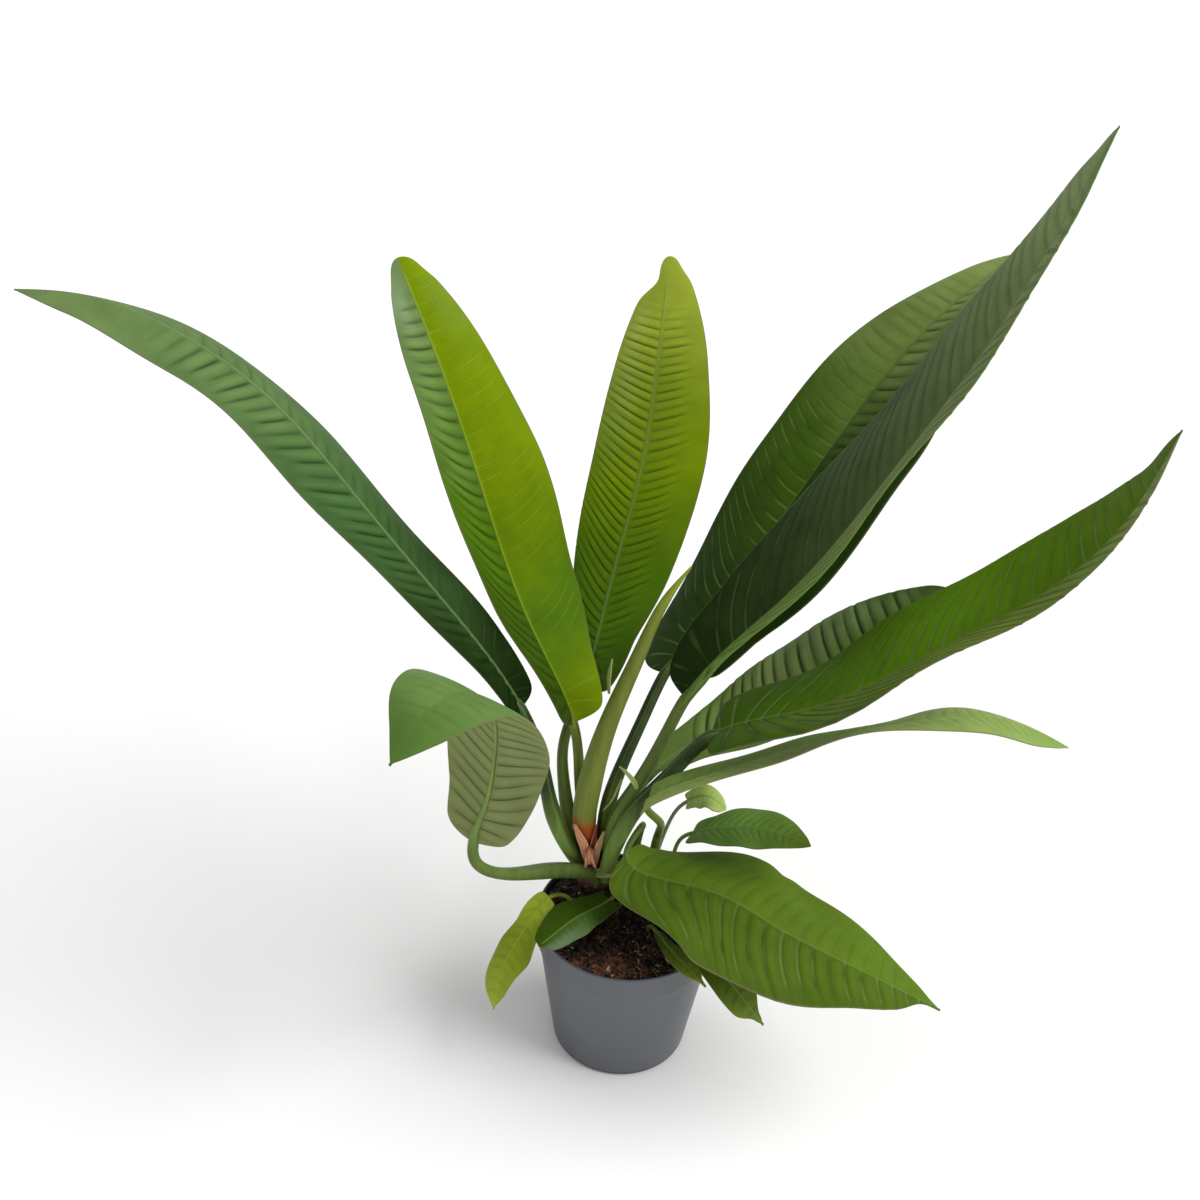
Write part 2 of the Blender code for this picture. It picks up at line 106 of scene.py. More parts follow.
# Undulations along a margin.
WAVES = 3.0
YOUNG_LEAVES = ("leaf_small_back", "leaf_small_front_left")


class Leaf:
    """One leaf: its route from foot to tip, the shape of its blade, its ribs and its greens.

    Outward is the direction that the blade grows in, and neck the point of the route at
    which it starts. Roll turns the blade about its midrib and fold lifts its halves, at
    its foot, middle and tip, all in degrees. Where another value is a pair, the first is
    for the left half, seen from the foot with the upper face in view, and the second for
    the right. A nick is a side (1 left, -1 right), a share of the length, half its own
    length as a share, and its depth. Colours are names in GreenSettings.
    """

    lobe = 10.0  # how far the blade reaches back past its neck
    lobes = (1.0, 1.0)  # the share of that on each side
    settle = 0.0  # up to this far from its neck the blade keeps the direction that it has there
    stalk = (3.3, 4.2, 3.4)  # the stalk's radius at its foot, a third of the way up and at the neck
    wave = 1.5  # height of the undulations
    uneven = 0.0  # how much wider the left half is, as a share
    cap = 0.0  # radius of a rounded tip
    nicks = ()  # places where the margin is drawn in
    ribs = 40  # grooves along each half
    slant = (0.8, 0.8)  # how far a rib runs towards the tip, in half-widths
    curve = 1.4  # how late it bends that way
    relief = (1.2, 1.2)  # height of the swellings between ribs
    rib_start = 0.0  # the share of the length at which ribs start
    rib_end = 0.93  # and at which they have faded out
    groove = (0.5, 0.5)  # darkness of the painted shade in the grooves
    groove_out = (0.86, 0.86)  # how far out towards the margin they run
    stroke = 0.45  # their breadth, as a share of a rib's
    ridge = 1.0  # half the breadth of the midrib
    pale_veins = (0.1, 0.1)  # strength of the pale veins in the grooves
    pale = "leek"  # and their colour
    line = 0.8  # strength of the midrib's own colour
    hollow = (0.0, 0.0)  # shade beside the midrib
    light = (1.0, 1.0)  # how light the greens are, partly their own tone and partly painted light for how brightly each half is lit
    left = ("forest", "forest", "olive")  # the left half's greens, from foot to tip; where the foot is darker, that is partly painted shade
    right = None  # the right half's, where they differ
    sheen = (0.0, 0.0)  # strength of the sheen: a painted bluish white reflection, with a clear coat where it lies
    sheen_from = 0.3  # and the share of the length from which it shows
    rim = "margin"  # colour of the blade's dry edge
    midrib = "midrib"
    back = "underside"
    back_lines = 1.0  # strength of the painted shade lines beside the ribs on the back
    stem = "stem"  # colour of the stalk
    foot = "stem"  # and of its lower end
    small = False  # made with fewer faces, on a thin stalk

    def __init__(self, name, outward, route, neck, half_widths, roll, fold, **own):
        self.name = name
        self.outward = math.radians(outward)
        self.route = np.array(route, dtype=float)
        self.neck = neck
        self.half_widths = half_widths
        self.roll = [math.radians(angle) for angle in roll]
        self.fold = [math.radians(angle) for angle in fold]
        for key, value in own.items():
            if not hasattr(Leaf, key):
                raise ValueError(f"{name} has an unknown value, {key}")
            setattr(self, key, value)
        self.right = self.right or self.left


def crown_seat(angle):
    """A point on the crown's top, where a leaf stalk stands."""
    turn = math.radians(angle)
    return (CROWN_X + CROWN_RING * math.cos(turn), CROWN_Y + CROWN_RING * math.sin(turn),
            CROWN_TOP + STALK_CLEARANCE)


def on_both_sides(place, spread, depth):
    """A pair of like nicks that narrow a blade's tip."""
    return ((1, place, spread, depth), (-1, place, spread, depth))


LEAVES = [
    Leaf("leaf_far_left", 165,
         [crown_seat(185), (-44, 28.5, 142), (-54, 27.5, 172), (-60, 26.5, 205), (-75, 24, 252),
          (-123, 25, 327), (-175, 33, 392), (-224, 42, 448), (-280, 43, 488), (-327, 37, 506),
          (-354, 30, 509)], 4,
         (17, 25, 31, 31, 19), (-5, 2, 12), (20, -8, -12), lobe=14, stalk=(3.3, 4.8, 3.8),
         uneven=-0.08, ribs=40, slant=(1.5, 1.1), curve=1.2, relief=(1.4, 0.6), rib_end=0.82,
         groove=(0.8, 0.35), groove_out=(0.95, 0.6), stroke=0.36, ridge=0.7, light=(0.84, 0.84),
         left=("shade", "grass", "sage"), midrib="vein",
         line=0.5, stem="dark_stem", foot="leek"),
    Leaf("leaf_back_left", 125,
         [crown_seat(108), (-36, 47, 180), (-42, 44, 228), (-72, 76, 277), (-107, 118, 349),
          (-139, 150, 426), (-167, 168, 489)], 2,
         (24, 40, 42, 31, 17), (22, 4, -4), (28, 30, 11), lobe=14, stalk=(3.3, 3.6, 3.2),
         uneven=-0.14, lobes=(0.4, 1.0), cap=9.0, ribs=34, slant=(1.35, 0.9), curve=1.9,
         relief=(1.2, 0.35), groove=(0.85, 0.03), stroke=0.36, groove_out=(0.98, 0.86), rib_end=0.95,
         pale_veins=(0.0, 0.32), pale="lime", ridge=0.6, light=(0.86, 1.0), hollow=(0.4, 0.0),
         left=("forest", "spring", "sage"), right=("bright", "spring", "bright", "bright"),
         sheen=(0.45, 0.1), sheen_from=0.66, midrib="lime", line=0.45, stem="yellow_stem"),
    Leaf("leaf_back", 80,
         [crown_seat(145), (-42, 41, 152), (-47, 47, 180), (-48, 51, 203), (-37, 72, 238),
          (-22, 115, 294), (-7, 160, 350), (1, 208, 409), (6, 250, 471)], 4,
         (17, 34, 39, 32, 17), (-20, -5, -10), (0, 6, 6), lobe=12, stalk=(3.3, 3.8, 3.2),
         uneven=-0.09, cap=6.0, nicks=((1, 0.94, 0.03, 7.0),),
         ribs=48, slant=(1.2, 1.1), curve=1.3, relief=(1.4, 1.1), groove=(0.62, 0.5),
         stroke=0.36, groove_out=(1.1, 0.72), rib_end=0.9, ridge=0.55, line=0.45, hollow=(0.22, 0.3),
         pale_veins=(0.25, 0.25), light=(0.9, 0.98),
         left=("forest", "spring", "bright", "tender"),
         sheen=(0.1, 0.0), midrib="vein"),
    Leaf("leaf_back_right", 50,
         [crown_seat(70), (-14, 42, 176), (2, 62, 216), (17, 90, 239), (71, 140, 302),
          (124, 190, 366), (181, 240, 428), (247, 285, 474)], 3,
         (38, 62, 66, 52, 24), (-20, -14, -25), (0, 8, 20), stalk=(3.3, 4.4, 3.8), uneven=-0.07,
         ribs=40, slant=(0.8, 1.2), curve=1.7, relief=(0.6, 1.3), groove=(0.3, 0.9), stroke=0.34,
         groove_out=(1.0, 0.5), pale_veins=(0.85, 0.1), ridge=0.4, line=0.35, light=(1.2, 1.1),
         left=("deep", "deep", "forest", "pale"), right=("shade", "deep", "deep", "pale"), midrib="leek",
         stem="dark_stem"),
    Leaf("leaf_tall_right", 15,
         [crown_seat(-14), (-13.5, 28.6, 150), (0, 29, 188), (18, 30, 235), (28, 32, 261),
          (86, 42, 335), (135, 50, 412), (178, 55, 492), (201, 52, 553), (220, 40, 624)], 4,
         (21, 47, 54, 40, 18), (-5, -20, -22), (28, 17, 8), lobe=16, uneven=0.42, stalk=(3.3, 4.8, 3.8),
         nicks=((-1, 0.955, 0.035, 3.0), (1, 0.95, 0.035, 4.5)),
         ribs=36, slant=(1.8, 1.5), curve=1.3, relief=(0.7, 0.9), groove=(0.32, 0.6), rib_end=0.97,
         groove_out=(1.1, 1.2), pale_veins=(0.36, 0.3), ridge=0.7, light=(1.6, 1.25), rim="leek",
         left=("night", "ash", "dusty"),
         right=("leek", "dusty", "dusty"), midrib="leek", foot="leek"),
    Leaf("leaf_mid_right_rear", 25,
         [crown_seat(30), (-6.5, 39.6, 161), (15, 58, 183), (70, 82, 208), (143, 112, 247),
          (213, 130, 291)], 2,
         (14, 33, 42, 36, 19), (-5, -4, 0), (12, 12, 9), lobe=6, uneven=0.05, stalk=(3.3, 4.0, 3.4),
         ribs=26, slant=(0.7, 0.5), relief=(1.6, 1.3), groove=(0.8, 0.8), stroke=0.42, rib_start=0.1,
         groove_out=(1.2, 1.0), light=(1.15, 1.15), left=("leek", "dusty", "forest"),
         sheen=(0.26, 0.24), sheen_from=0.2, stem="dark_stem"),
    Leaf("leaf_mid_right_front", -5,
         [crown_seat(-54), (-1, 17, 177), (21, 17, 211), (45, 15, 245), (102, 2, 279),
          (161, -6, 326), (211, -8, 366), (255, -5, 416), (279, 5, 475)], 3,
         (32, 40, 43, 42, 20), (-5, 0, -8), (14, 30, 18), lobe=8, stalk=(3.3, 5.2, 4.8),
         nicks=((1, 0.925, 0.045, 6.0), (-1, 0.965, 0.04, 5.0)),
         ribs=32, slant=(1.8, 1.9), curve=1.25, relief=(0.7, 0.9), groove=(0.24, 0.8), rib_end=0.97,
         stroke=0.38, groove_out=(1.1, 1.2), pale_veins=(0.95, 0.7), pale="sage", ridge=0.6, line=0.5,
         light=(1.4, 1.2), left=("forest", "spring", "grove"),
         right=("forest", "olive", "olive"), midrib="leek", stem="dark_stem", foot="leek"),
    Leaf("leaf_low_right", 0,
         [(17, 43, STEM_FOOT), (17, 43, 112), (18, 40, 137), (18, 21, 168), (8, -6, 207),
          (57, -7, 237), (129, -6, 269), (202, 0, 281), (268, 18, 249)], 4,
         (14, 20, 30, 24, 8), (-12, -32, -5), (15, 9, -5), lobe=12, stalk=(2.6, 2.8, 2.4),
         ribs=34, slant=(1.0, 1.0), relief=(0.4, 0.4), groove=(0.1, 0.1),
         left=("leek", "leek", "pale"), right=("pale", "pale", "leek"), back="pale",
         light=(1.3, 1.4), midrib="leek", line=0.4, stem="yellow_stem"),
    Leaf("leaf_front_right", -35,
         [(2, 42, STEM_FOOT), (3, 42, 112), (7, 36, 150), (6, 24, 160), (-2.5, 10, 150.5),
          (46, -12, 142), (93, -32, 132), (137, -46, 118), (174, -54, 104), (202, -57, 91)], 4,
         (25, 53, 50, 37, 13), (-5, 0, -15), (5, 0, 10), lobe=5, stalk=(2.4, 2.4, 2.2),
         uneven=-0.03, settle=16.0, lobes=(1.0, 0.3),
         nicks=((-1, 0.74, 0.26, 9.0), (-1, 0.93, 0.05, 5.0), (1, 0.36, 0.04, 3.0),
                (1, 0.97, 0.03, 2.0)),
         ribs=22, slant=(0.7, 0.9), curve=1.8, relief=(0.6, 0.9), groove=(0.14, 0.6), stroke=0.22,
         groove_out=(0.8, 1.1), rib_end=0.92, pale_veins=(0.25, 0.7), ridge=0.6, line=0.4,
         light=(1.45, 0.98), left=("grove", "grove", "grove"),
         midrib="leek"),
    Leaf("leaf_front_left_curled", 222,
         [crown_seat(-92), (-33, 16, 126), (-53, 13, 128), (-84, -4, 139), (-100, -12, 156),
          (-101, -12, 171), (-93, -10, 202), (-88, -8, 237), (-88, -20, 278), (-101, -46, 313),
          (-119, -80, 323), (-137, -105, 304)], 5,
         (23, 37, 42, 34, 18), (25, 10, 0), (8, 8, 5), lobe=2, stalk=(3.3, 4.4, 3.6),
         nicks=on_both_sides(0.95, 0.05, 4.0),
         ribs=28, slant=(0.9, 0.7), relief=(0.45, 0.45), groove=(0.1, 0.1), stroke=0.3,
         back_lines=7.0, groove_out=(1.1, 1.1), ridge=0.25, line=0.0,
         left=("leek", "sage", "meadow"), back="pale_back",
         stem="grey_olive", foot="grey_olive"),
    Leaf("leaf_small_right", -10,
         [(29, 37, STEM_FOOT), (29, 37, 104), (33, 47, 128), (42, 40, 144), (72, 30, 159),
          (101, 20, 163), (117, 12, 162)], 3,
         (11, 20, 22, 17, 7), (-5, -3, -3), (10, 10, 10), lobe=5, stalk=(1.8, 1.6, 1.4),
         wave=0.6, ribs=16, slant=(1.2, 1.2), relief=(0.3, 0.3), groove=(0.25, 0.25), ridge=0.7,
         line=0.6, light=(1.35, 1.1), left=("meadow", "meadow", "grove"),
         midrib="leek", stem="leek", small=True),
    Leaf("leaf_small_back", 20,
         [(19, 51, STEM_FOOT), (19, 51, 106), (24, 55, 130), (30, 58, 146), (38, 55, 159),
          (50, 52, 166), (63, 45, 161)], 4,
         (6, 10, 11, 13, 8), (0, 4, 8), (12, 8, 2), lobe=4, stalk=(1.6, 1.4, 1.3),
         wave=0.1, ribs=8, relief=(0.15, 0.15), groove=(0.1, 0.1), light=(1.95, 1.95),
         left=("pale", "pale", "pale"), back="pale",
         stem="pale_stem", foot="pale_stem", small=True),
    Leaf("leaf_small_front_left", 240,
         [(-35, 4, STEM_FOOT), (-36, 4, 108), (-43, 5, 114), (-52, 3, 113), (-61, -10, 110),
          (-69, -21, 100), (-81, -36, 81), (-84, -50, 62)], 3,
         (9, 12, 17, 16, 11), (10, 25, 40), (10, 0, 15), lobe=3, stalk=(1.8, 1.6, 1.4),
         wave=0.6, nicks=on_both_sides(0.95, 0.05, 4.0),
         ribs=12, relief=(0.3, 0.3), groove=(0.15, 0.15), light=(1.3, 1.3),
         left=("lime", "sap", "lime"), midrib="lime",
         stem="yellow_stem", small=True),
    Leaf("leaf_small_front", 225,
         [(0, 16, STEM_FOOT), (0, 16, 104), (-4, 12, 113), (-12, -1, 117), (-31, -17, 117),
          (-47, -34, 116), (-56, -44, 115)], 3,
         (10, 15, 17, 13, 8), (3, 4, 3), (15, 14, 2), lobe=5, stalk=(1.8, 1.6, 1.4),
         wave=0.5, ribs=12, relief=(0.35, 0.35), groove=(0.2, 0.2), light=(0.9, 0.9),
         left=("forest", "meadow", "forest"), right=("forest", "forest", "forest"),
         midrib="leek", stem="leek", sheen=(0.3, 0.0), small=True),
    Leaf("leaf_small_low_right", -50,
         [(32, 2, STEM_FOOT), (32, 2, 101), (38, -8, 109), (45, -26, 112), (66, -50, 100),
          (91, -58, 70)], 2,
         (7, 11, 13, 12, 6), (0, 0, 0), (10, 8, 2), lobe=3, stalk=(1.6, 1.6, 1.4),
         wave=0.5, nicks=on_both_sides(0.9, 0.09, 4.0),
         ribs=12, relief=(0.4, 0.4), groove=(0.3, 0.3), light=(1.3, 1.3),
         left=("grove", "grove", "olive"), small=True),
    Leaf("leaf_small_low_front", -60,
         [(15, -8, STEM_FOOT), (15, -8, 102), (20, -21, 110), (29, -40, 113), (42, -58, 114),
          (50, -68, 112)], 2,
         (3, 5, 7, 6, 3), (0, 0, 0), (10, 8, 2), lobe=2, stalk=(1.6, 1.5, 1.3),
         wave=0.4, nicks=on_both_sides(0.9, 0.09, 2.0),
         ribs=10, relief=(0.3, 0.3), groove=(0.2, 0.2),
         left=("grove", "olive", "lime"), small=True),
]

SPIKE_ROUTE = [(CROWN_X - 2, CROWN_Y, CROWN_TOP + STALK_CLEARANCE), (-31.5, 31, 158), (-29.5, 32, 186),
               (-18.5, 34, 240), (-2, 38, 291), (11, 42, 326), (25, 45, 349)]
SPIKE_RADII = (4.2, 8.2, 8.4, 6.2, 4.6, 3.0, 0.6)
SPIKE_TURNS = 1.25
STALKS_ON_CROWN = 8
# The photograph's camera, as a place and turns found from the pot's rim and base.
CAMERA_PLACE = (-0.029, -0.736, 0.812)
CAMERA_TILT = 57.9
CAMERA_ROLL = 3.1
CAMERA_LENS = 45.0
# The floor is a square that lies just under the pot, most of it behind.
FLOOR_SIZE = 16.0
FLOOR_GAP = 0.0002


def paint(red, green, blue):
    """A colour as light, from its values on screen between 0 and 255."""
    return tuple(((v / 255 + 0.055) / 1.055) ** 2.4 for v in (red, green, blue))


def colour_property(name, description, default):
    return FloatVectorProperty(name=name, description=description, default=default,
                               subtype="COLOR", size=3, min=0, max=1)


def length_property(name, description, default):
    return FloatProperty(name=name, description=description, default=default, min=0, unit="LENGTH")


def angle_property(name, description, degrees):
    return FloatProperty(name=name, description=description, default=math.radians(degrees),
                         subtype="ANGLE")


def count_property(name, description, default, least=0):
    return IntProperty(name=name, description=description, default=default, min=least)


class GreenSettings(bpy.types.PropertyGroup):
    """The greens that the leaves and stalks are painted with."""

    night: colour_property("Night", "Darkest grey-green", paint(28, 42, 14))
    shade: colour_property("Shade", "Darkest green, in grooves and at the foot of blades", paint(26, 44, 12))
    deep: colour_property("Deep", "Dark green of old blades", paint(42, 66, 18))
    forest: colour_property("Forest", "Full green of old blades", paint(62, 90, 18))
    grove: colour_property("Grove", "Warm middle green", paint(78, 102, 26))
    grass: colour_property("Grass", "Bluish middle green", paint(72, 106, 54))
    meadow: colour_property("Meadow", "Soft light green", paint(96, 130, 58))
    spring: colour_property("Spring", "Fresh green", paint(84, 122, 16))
    bright: colour_property("Bright", "Yellow-green of young blades", paint(121, 147, 4))
    lime: colour_property("Lime", "Lightest yellow-green", paint(150, 166, 50))
    tender: colour_property("Tender", "Pale yellow-green of a blade's young tip", paint(172, 188, 62))
    sap: colour_property("Sap", "Warm yellow-green", paint(112, 130, 30))
    olive: colour_property("Olive", "Brownish light green", paint(104, 124, 48))
    leek: colour_property("Leek", "Light green of ribs and edges", paint(112, 138, 66))
    sage: colour_property("Sage", "Greyish light green", paint(116, 142, 84))
    ash: colour_property("Ash", "Dark grey-green", paint(56, 72, 38))
    dusty: colour_property("Dusty", "Light grey-green", paint(98, 114, 66))
    pale: colour_property("Pale", "Pale green of thin blades", paint(134, 152, 84))
    # Painted sheen: the bluish white of a reflection, painted onto the blades.
    painted_sheen: colour_property("Gloss", "Bluish white of the waxy shine", paint(168, 190, 160))
    underside: colour_property("Underside", "Pale back of every blade", paint(116, 128, 72))
    pale_back: colour_property("Pale back", "Lightest back of a blade", paint(130, 140, 88))
    stem: colour_property("Stem", "Green of the leaf stalks", paint(94, 112, 50))
    dark_stem: colour_property("Dark stem", "Green of the darkest stalks", paint(54, 68, 34))
    yellow_stem: colour_property("Yellow stem", "Yellowish stalks", paint(104, 118, 44))
    grey_olive: colour_property("Grey olive", "The bent stalk", paint(90, 108, 50))
    pale_stem: colour_property("Pale stem", "Thin whitish stalk", paint(140, 148, 112))
    vein: colour_property("Vein", "Greyish rib down a blade", paint(112, 142, 90))
    midrib: colour_property("Midrib", "Pale rib down a blade", paint(122, 148, 76))
    margin: colour_property("Margin", "Dry line along a blade's edge", paint(112, 106, 84))
    rolled: colour_property("Rolled", "Yellowish green of the rolled leaf", paint(122, 134, 58))
    blush: colour_property("Blush", "Orange foot of the rolled leaf", paint(176, 84, 40))
    sheath: colour_property("Sheath", "Salmon of the dry scales", paint(206, 146, 112))
    sheath_dark: colour_property("Sheath shadow", "Red between the scales", paint(120, 38, 24))


class LeafSettings(bpy.types.PropertyGroup):
    """Sizes shared by all leaves."""

    thickness: length_property("Blade thickness", "Thickness of a blade", 0.0007)
    columns: count_property("Columns", "Faces across a blade", 36, least=8)
    rows_per_rib: count_property("Rows per rib", "Faces along a blade for each rib", 7, least=4)
    stalk_rows: count_property("Stalk rows", "Faces along a large leaf's stalk", 130, least=20)
    small_stalk_rows: count_property("Small stalk rows", "Faces along a small leaf's stalk", 60, least=20)
    stalk_sides: count_property("Stalk sides", "Sides of a leaf stalk", 18, least=8)
    stalk_sink: length_property("Stalk sink", "How far a stalk goes into the crown", 0.008)


class PotSettings(bpy.types.PropertyGroup):
    """Sizes and colour of the nursery pot."""

    plastic: colour_property("Plastic", "Grey of the pot", (0.056, 0.063, 0.078))
    sides: count_property("Sides", "Faces round the pot", 144, least=24)
    wall: length_property("Wall", "Thickness of the wall", 0.0016)
    floor: length_property("Floor", "Thickness of the floor", 0.003)
    base_radius: length_property("Base radius", "Radius of the underside", 0.046)
    band: length_property("Rim band", "Height of the band under the rim", 0.019)
    hole_radius: length_property("Hole radius", "Radius of a drainage hole", 0.004)
    hole_circle: length_property("Hole circle", "Distance of the holes from the middle", 0.030)


class SoilSettings(bpy.types.PropertyGroup):
    """Grains and colours of the soil."""

    peat: colour_property("Peat", "Dark moist peat", (0.020, 0.016, 0.010))
    bark: colour_property("Bark", "Reddish bark", (0.150, 0.060, 0.036))
    speck: colour_property("Speck", "Pale specks", (0.420, 0.330, 0.260))
    chips: count_property("Bark chips", "Number of bark chips", 700)
    grit: count_property("Grit", "Number of pale grains", 160)
    slivers: count_property("Slivers", "Number of pale slivers", 46)
    fibres: count_property("Fibres", "Number of coir fibres", 150)
    seed: count_property("Seed", "Seed of the scatter", 11)


class StageSettings(bpy.types.PropertyGroup):
    """Floor and light."""

    floor: colour_property("Floor", "Colour of the floor", (0.95, 0.95, 0.95))
    ambient: FloatProperty(name="Ambient", description="Strength of the light from all round",
                           default=0.58, min=0)
    key: FloatProperty(name="Key light", description="Strength of the soft light from the right",
                       default=2.85, min=0)
    key_angle: angle_property("Key size", "Width of the soft light, as an angle", 50)
    key_height: angle_property("Key height", "Height of the soft light, as an angle", 40)
    key_side: angle_property("Key side", "Turn of the soft light from the back to the right", 98)


# Shader helpers

class Signal:
    """A number that changes over a surface. Arithmetic on it adds Math nodes."""

    def __init__(self, finish, socket):
        self.finish = finish
        self.socket = socket

    def math(self, operation, first, second=None, clamp=False):
        values = {0: first} if second is None else {0: first, 1: second}
        made = self.finish.node("ShaderNodeMath", {"operation": operation, "use_clamp": clamp}, values)
        return Signal(self.finish, made.outputs[0])

    def __add__(self, other):
        return self.math("ADD", self, other)

    __radd__ = __add__

    def __sub__(self, other):
        return self.math("SUBTRACT", self, other)

    def __rsub__(self, other):
        return self.math("SUBTRACT", other, self)

    def __mul__(self, other):
        return self.math("MULTIPLY", self, other)

    __rmul__ = __mul__

    def __abs__(self):
        return self.math("ABSOLUTE", self)

    def fraction(self):
        return self.math("FRACT", self)

    def clamped(self):
        return self.math("ADD", self, 0.0, clamp=True)

    def step(self, low, high):
        """A smooth rise from 0 at low to 1 at high, or a fall where low is the larger."""
        flip = low > high
        values = {"Value": self, "From Min": min(low, high), "From Max": max(low, high),
                  "To Min": 1.0 if flip else 0.0, "To Max": 0.0 if flip else 1.0}
        made = self.finish.node("ShaderNodeMapRange", {"interpolation_type": "SMOOTHSTEP"}, values)
        return Signal(self.finish, made.outputs["Result"])


class Finish:
    """A material with one Principled shader, and one method that adds any other node."""

    def __init__(self, name, roughness=0.5, **constants):
        self.material = bpy.data.materials.new(name)
        self.material.use_nodes = True
        self.tree = self.material.node_tree
        self.shader = self.tree.nodes["Principled BSDF"]
        self.set("Roughness", roughness)
        for socket, value in constants.items():
            self.set(socket.replace("_", " "), value)

    def node(self, kind, settings=None, values=None):
        made = self.tree.nodes.new(kind)
        for key, value in (settings or {}).items():
            if key == "stops":
                self.set_stops(made.color_ramp, value)
            else:
                setattr(made, key, value)
        for key, value in (values or {}).items():
            self.put(made.inputs[key], value)
        return made

    def set_stops(self, ramp, stops):
        while len(ramp.elements) < len(stops):
            ramp.elements.new(1.0)
        for element, (place, colour) in zip(ramp.elements, stops):
            element.position = place
            element.color = (*colour, 1)

    def put(self, socket, value):
        if isinstance(value, Signal):
            self.tree.links.new(value.socket, socket)
        elif isinstance(value, bpy.types.NodeSocket):
            self.tree.links.new(value, socket)
        elif isinstance(value, (tuple, Color)) and len(socket.default_value) == 4:
            socket.default_value = (*value, 1)
        else:
            socket.default_value = value

    def set(self, socket, value):
        self.put(self.shader.inputs[socket], value)

    def ramp(self, signal, stops):
        return self.node("ShaderNodeValToRGB", {"stops": stops}, {"Fac": signal}).outputs["Color"]

    def mix(self, share, first, second):
        """A colour between two colours, by the share of the second, kept between 0 and 1."""
        made = self.node("ShaderNodeMix", {"data_type": "RGBA", "clamp_factor": True},
                         {0: share, 6: first, 7: second})
        return made.outputs[2]

    def scaled(self, colour, tone):
        """A colour made lighter or darker by a number."""
        made = self.node("ShaderNodeVectorMath", {"operation": "SCALE"}, {0: colour, "Scale": tone})
        return made.outputs[0]

    def object_place(self):
        return self.node("ShaderNodeTexCoord").outputs["Object"]

    def height(self):
        """How high a point of the piece lies, in metres."""
        split = self.node("ShaderNodeSeparateXYZ", values={0: self.object_place()})
        return Signal(self, split.outputs["Z"])

    def uv(self):
        """The two coordinates of the piece's own map, as signals."""
        split = self.node("ShaderNodeSeparateXYZ", values={0: self.node("ShaderNodeUVMap").outputs[0]})
        return Signal(self, split.outputs[0]), Signal(self, split.outputs[1])

    def attribute(self, name):
        made = self.node("ShaderNodeAttribute", {"attribute_name": name})
        return Signal(self, made.outputs["Fac"])

    def noise(self, scale, detail=2.0, roughness=0.5, place=None):
        made = self.node("ShaderNodeTexNoise", None,
                         {"Vector": place or self.object_place(), "Scale": scale,
                          "Detail": detail, "Roughness": roughness})
        return Signal(self, made.outputs["Fac"])

    def streaks(self, scale, detail=3):
        """Noise on Object coordinates, stretched by a scale along each axis."""
        made = self.node("ShaderNodeMapping", None, {"Vector": self.object_place(), "Scale": scale})
        return self.noise(1.0, detail, place=made.outputs[0])

    def lines(self, signal, breadth):
        """Evenly spaced lines, one for each whole number of a signal."""
        return abs(signal.fraction() * 2 - 1).step(breadth, 0.0)

    def bump(self, height, distance, strength):
        """A relief of a depth in metres, on top of any that is there."""
        chain = {"Height": height, "Distance": distance, "Strength": strength}
        if self.shader.inputs["Normal"].is_linked:
            chain["Normal"] = self.shader.inputs["Normal"].links[0].from_socket
        self.set("Normal", self.node("ShaderNodeBump", None, chain).outputs[0])

    def done(self, colour, roughness, relief, distance, strength):
        """Sets the colour, the roughness and a relief, and gives the material."""
        self.set("Base Color", colour)
        self.set("Roughness", roughness)
        self.bump(relief, distance, strength)
        return self.material


# Mesh helpers

def select_only(piece):
    bpy.ops.object.select_all(action="DESELECT")
    piece.select_set(True)
    bpy.context.view_layer.objects.active = piece


def add_sheet(name, columns, rows):
    """A flat grid, with each point's place across and along it, from 0 to 1."""
    bpy.ops.object.select_all(action="DESELECT")
    bpy.ops.mesh.primitive_grid_add(x_subdivisions=columns, y_subdivisions=rows, size=1)
    piece = bpy.context.object
    piece.name = name
    places = points_of(piece)
    return piece, places[:, 0] + 0.5, places[:, 1] + 0.5


def points_of(piece):
    places = np.empty(len(piece.data.vertices) * 3)
    piece.data.vertices.foreach_get("co", places)
    return places.reshape(-1, 3)


def shape(piece, points):
    """Moves a piece's points to their places, given in millimetres."""
    piece.data.vertices.foreach_set("co", (np.asarray(points) * MM).ravel())
    piece.data.update()


def close_seams(piece):
    """Merges the points that meet at a seam or a pole, and turns all faces outwards."""
    select_only(piece)
    bpy.ops.object.mode_set(mode="EDIT")
    bpy.ops.mesh.select_all(action="SELECT")
    bpy.ops.mesh.remove_doubles(threshold=0.00001)
    bpy.ops.mesh.normals_make_consistent(inside=False)
    bpy.ops.object.mode_set(mode="OBJECT")


def thicken(piece, thickness, underside_slot=0, offset=0):
    """Gives a sheet its thickness, about its middle unless an offset says otherwise."""
    select_only(piece)
    bpy.ops.object.modifier_add(type="SOLIDIFY")
    shell = piece.modifiers[-1]
    shell.thickness = thickness
    shell.offset = offset
    shell.material_offset = underside_slot
    bpy.ops.object.modifier_apply(modifier=shell.name)


def join(pieces, name):
    bpy.ops.object.select_all(action="DESELECT")
    for piece in pieces:
        piece.select_set(True)
    bpy.context.view_layer.objects.active = pieces[0]
    bpy.ops.object.join()
    pieces[0].name = name
    return pieces[0]


def coat(piece, material, crease):
    """Gives a piece its material and shades it smooth, but for edges sharper than a crease."""
    piece.data.materials.append(material)
    smooth(piece, crease)


def smooth(piece, crease):
    select_only(piece)
    bpy.ops.object.shade_smooth_by_angle(angle=math.radians(crease))


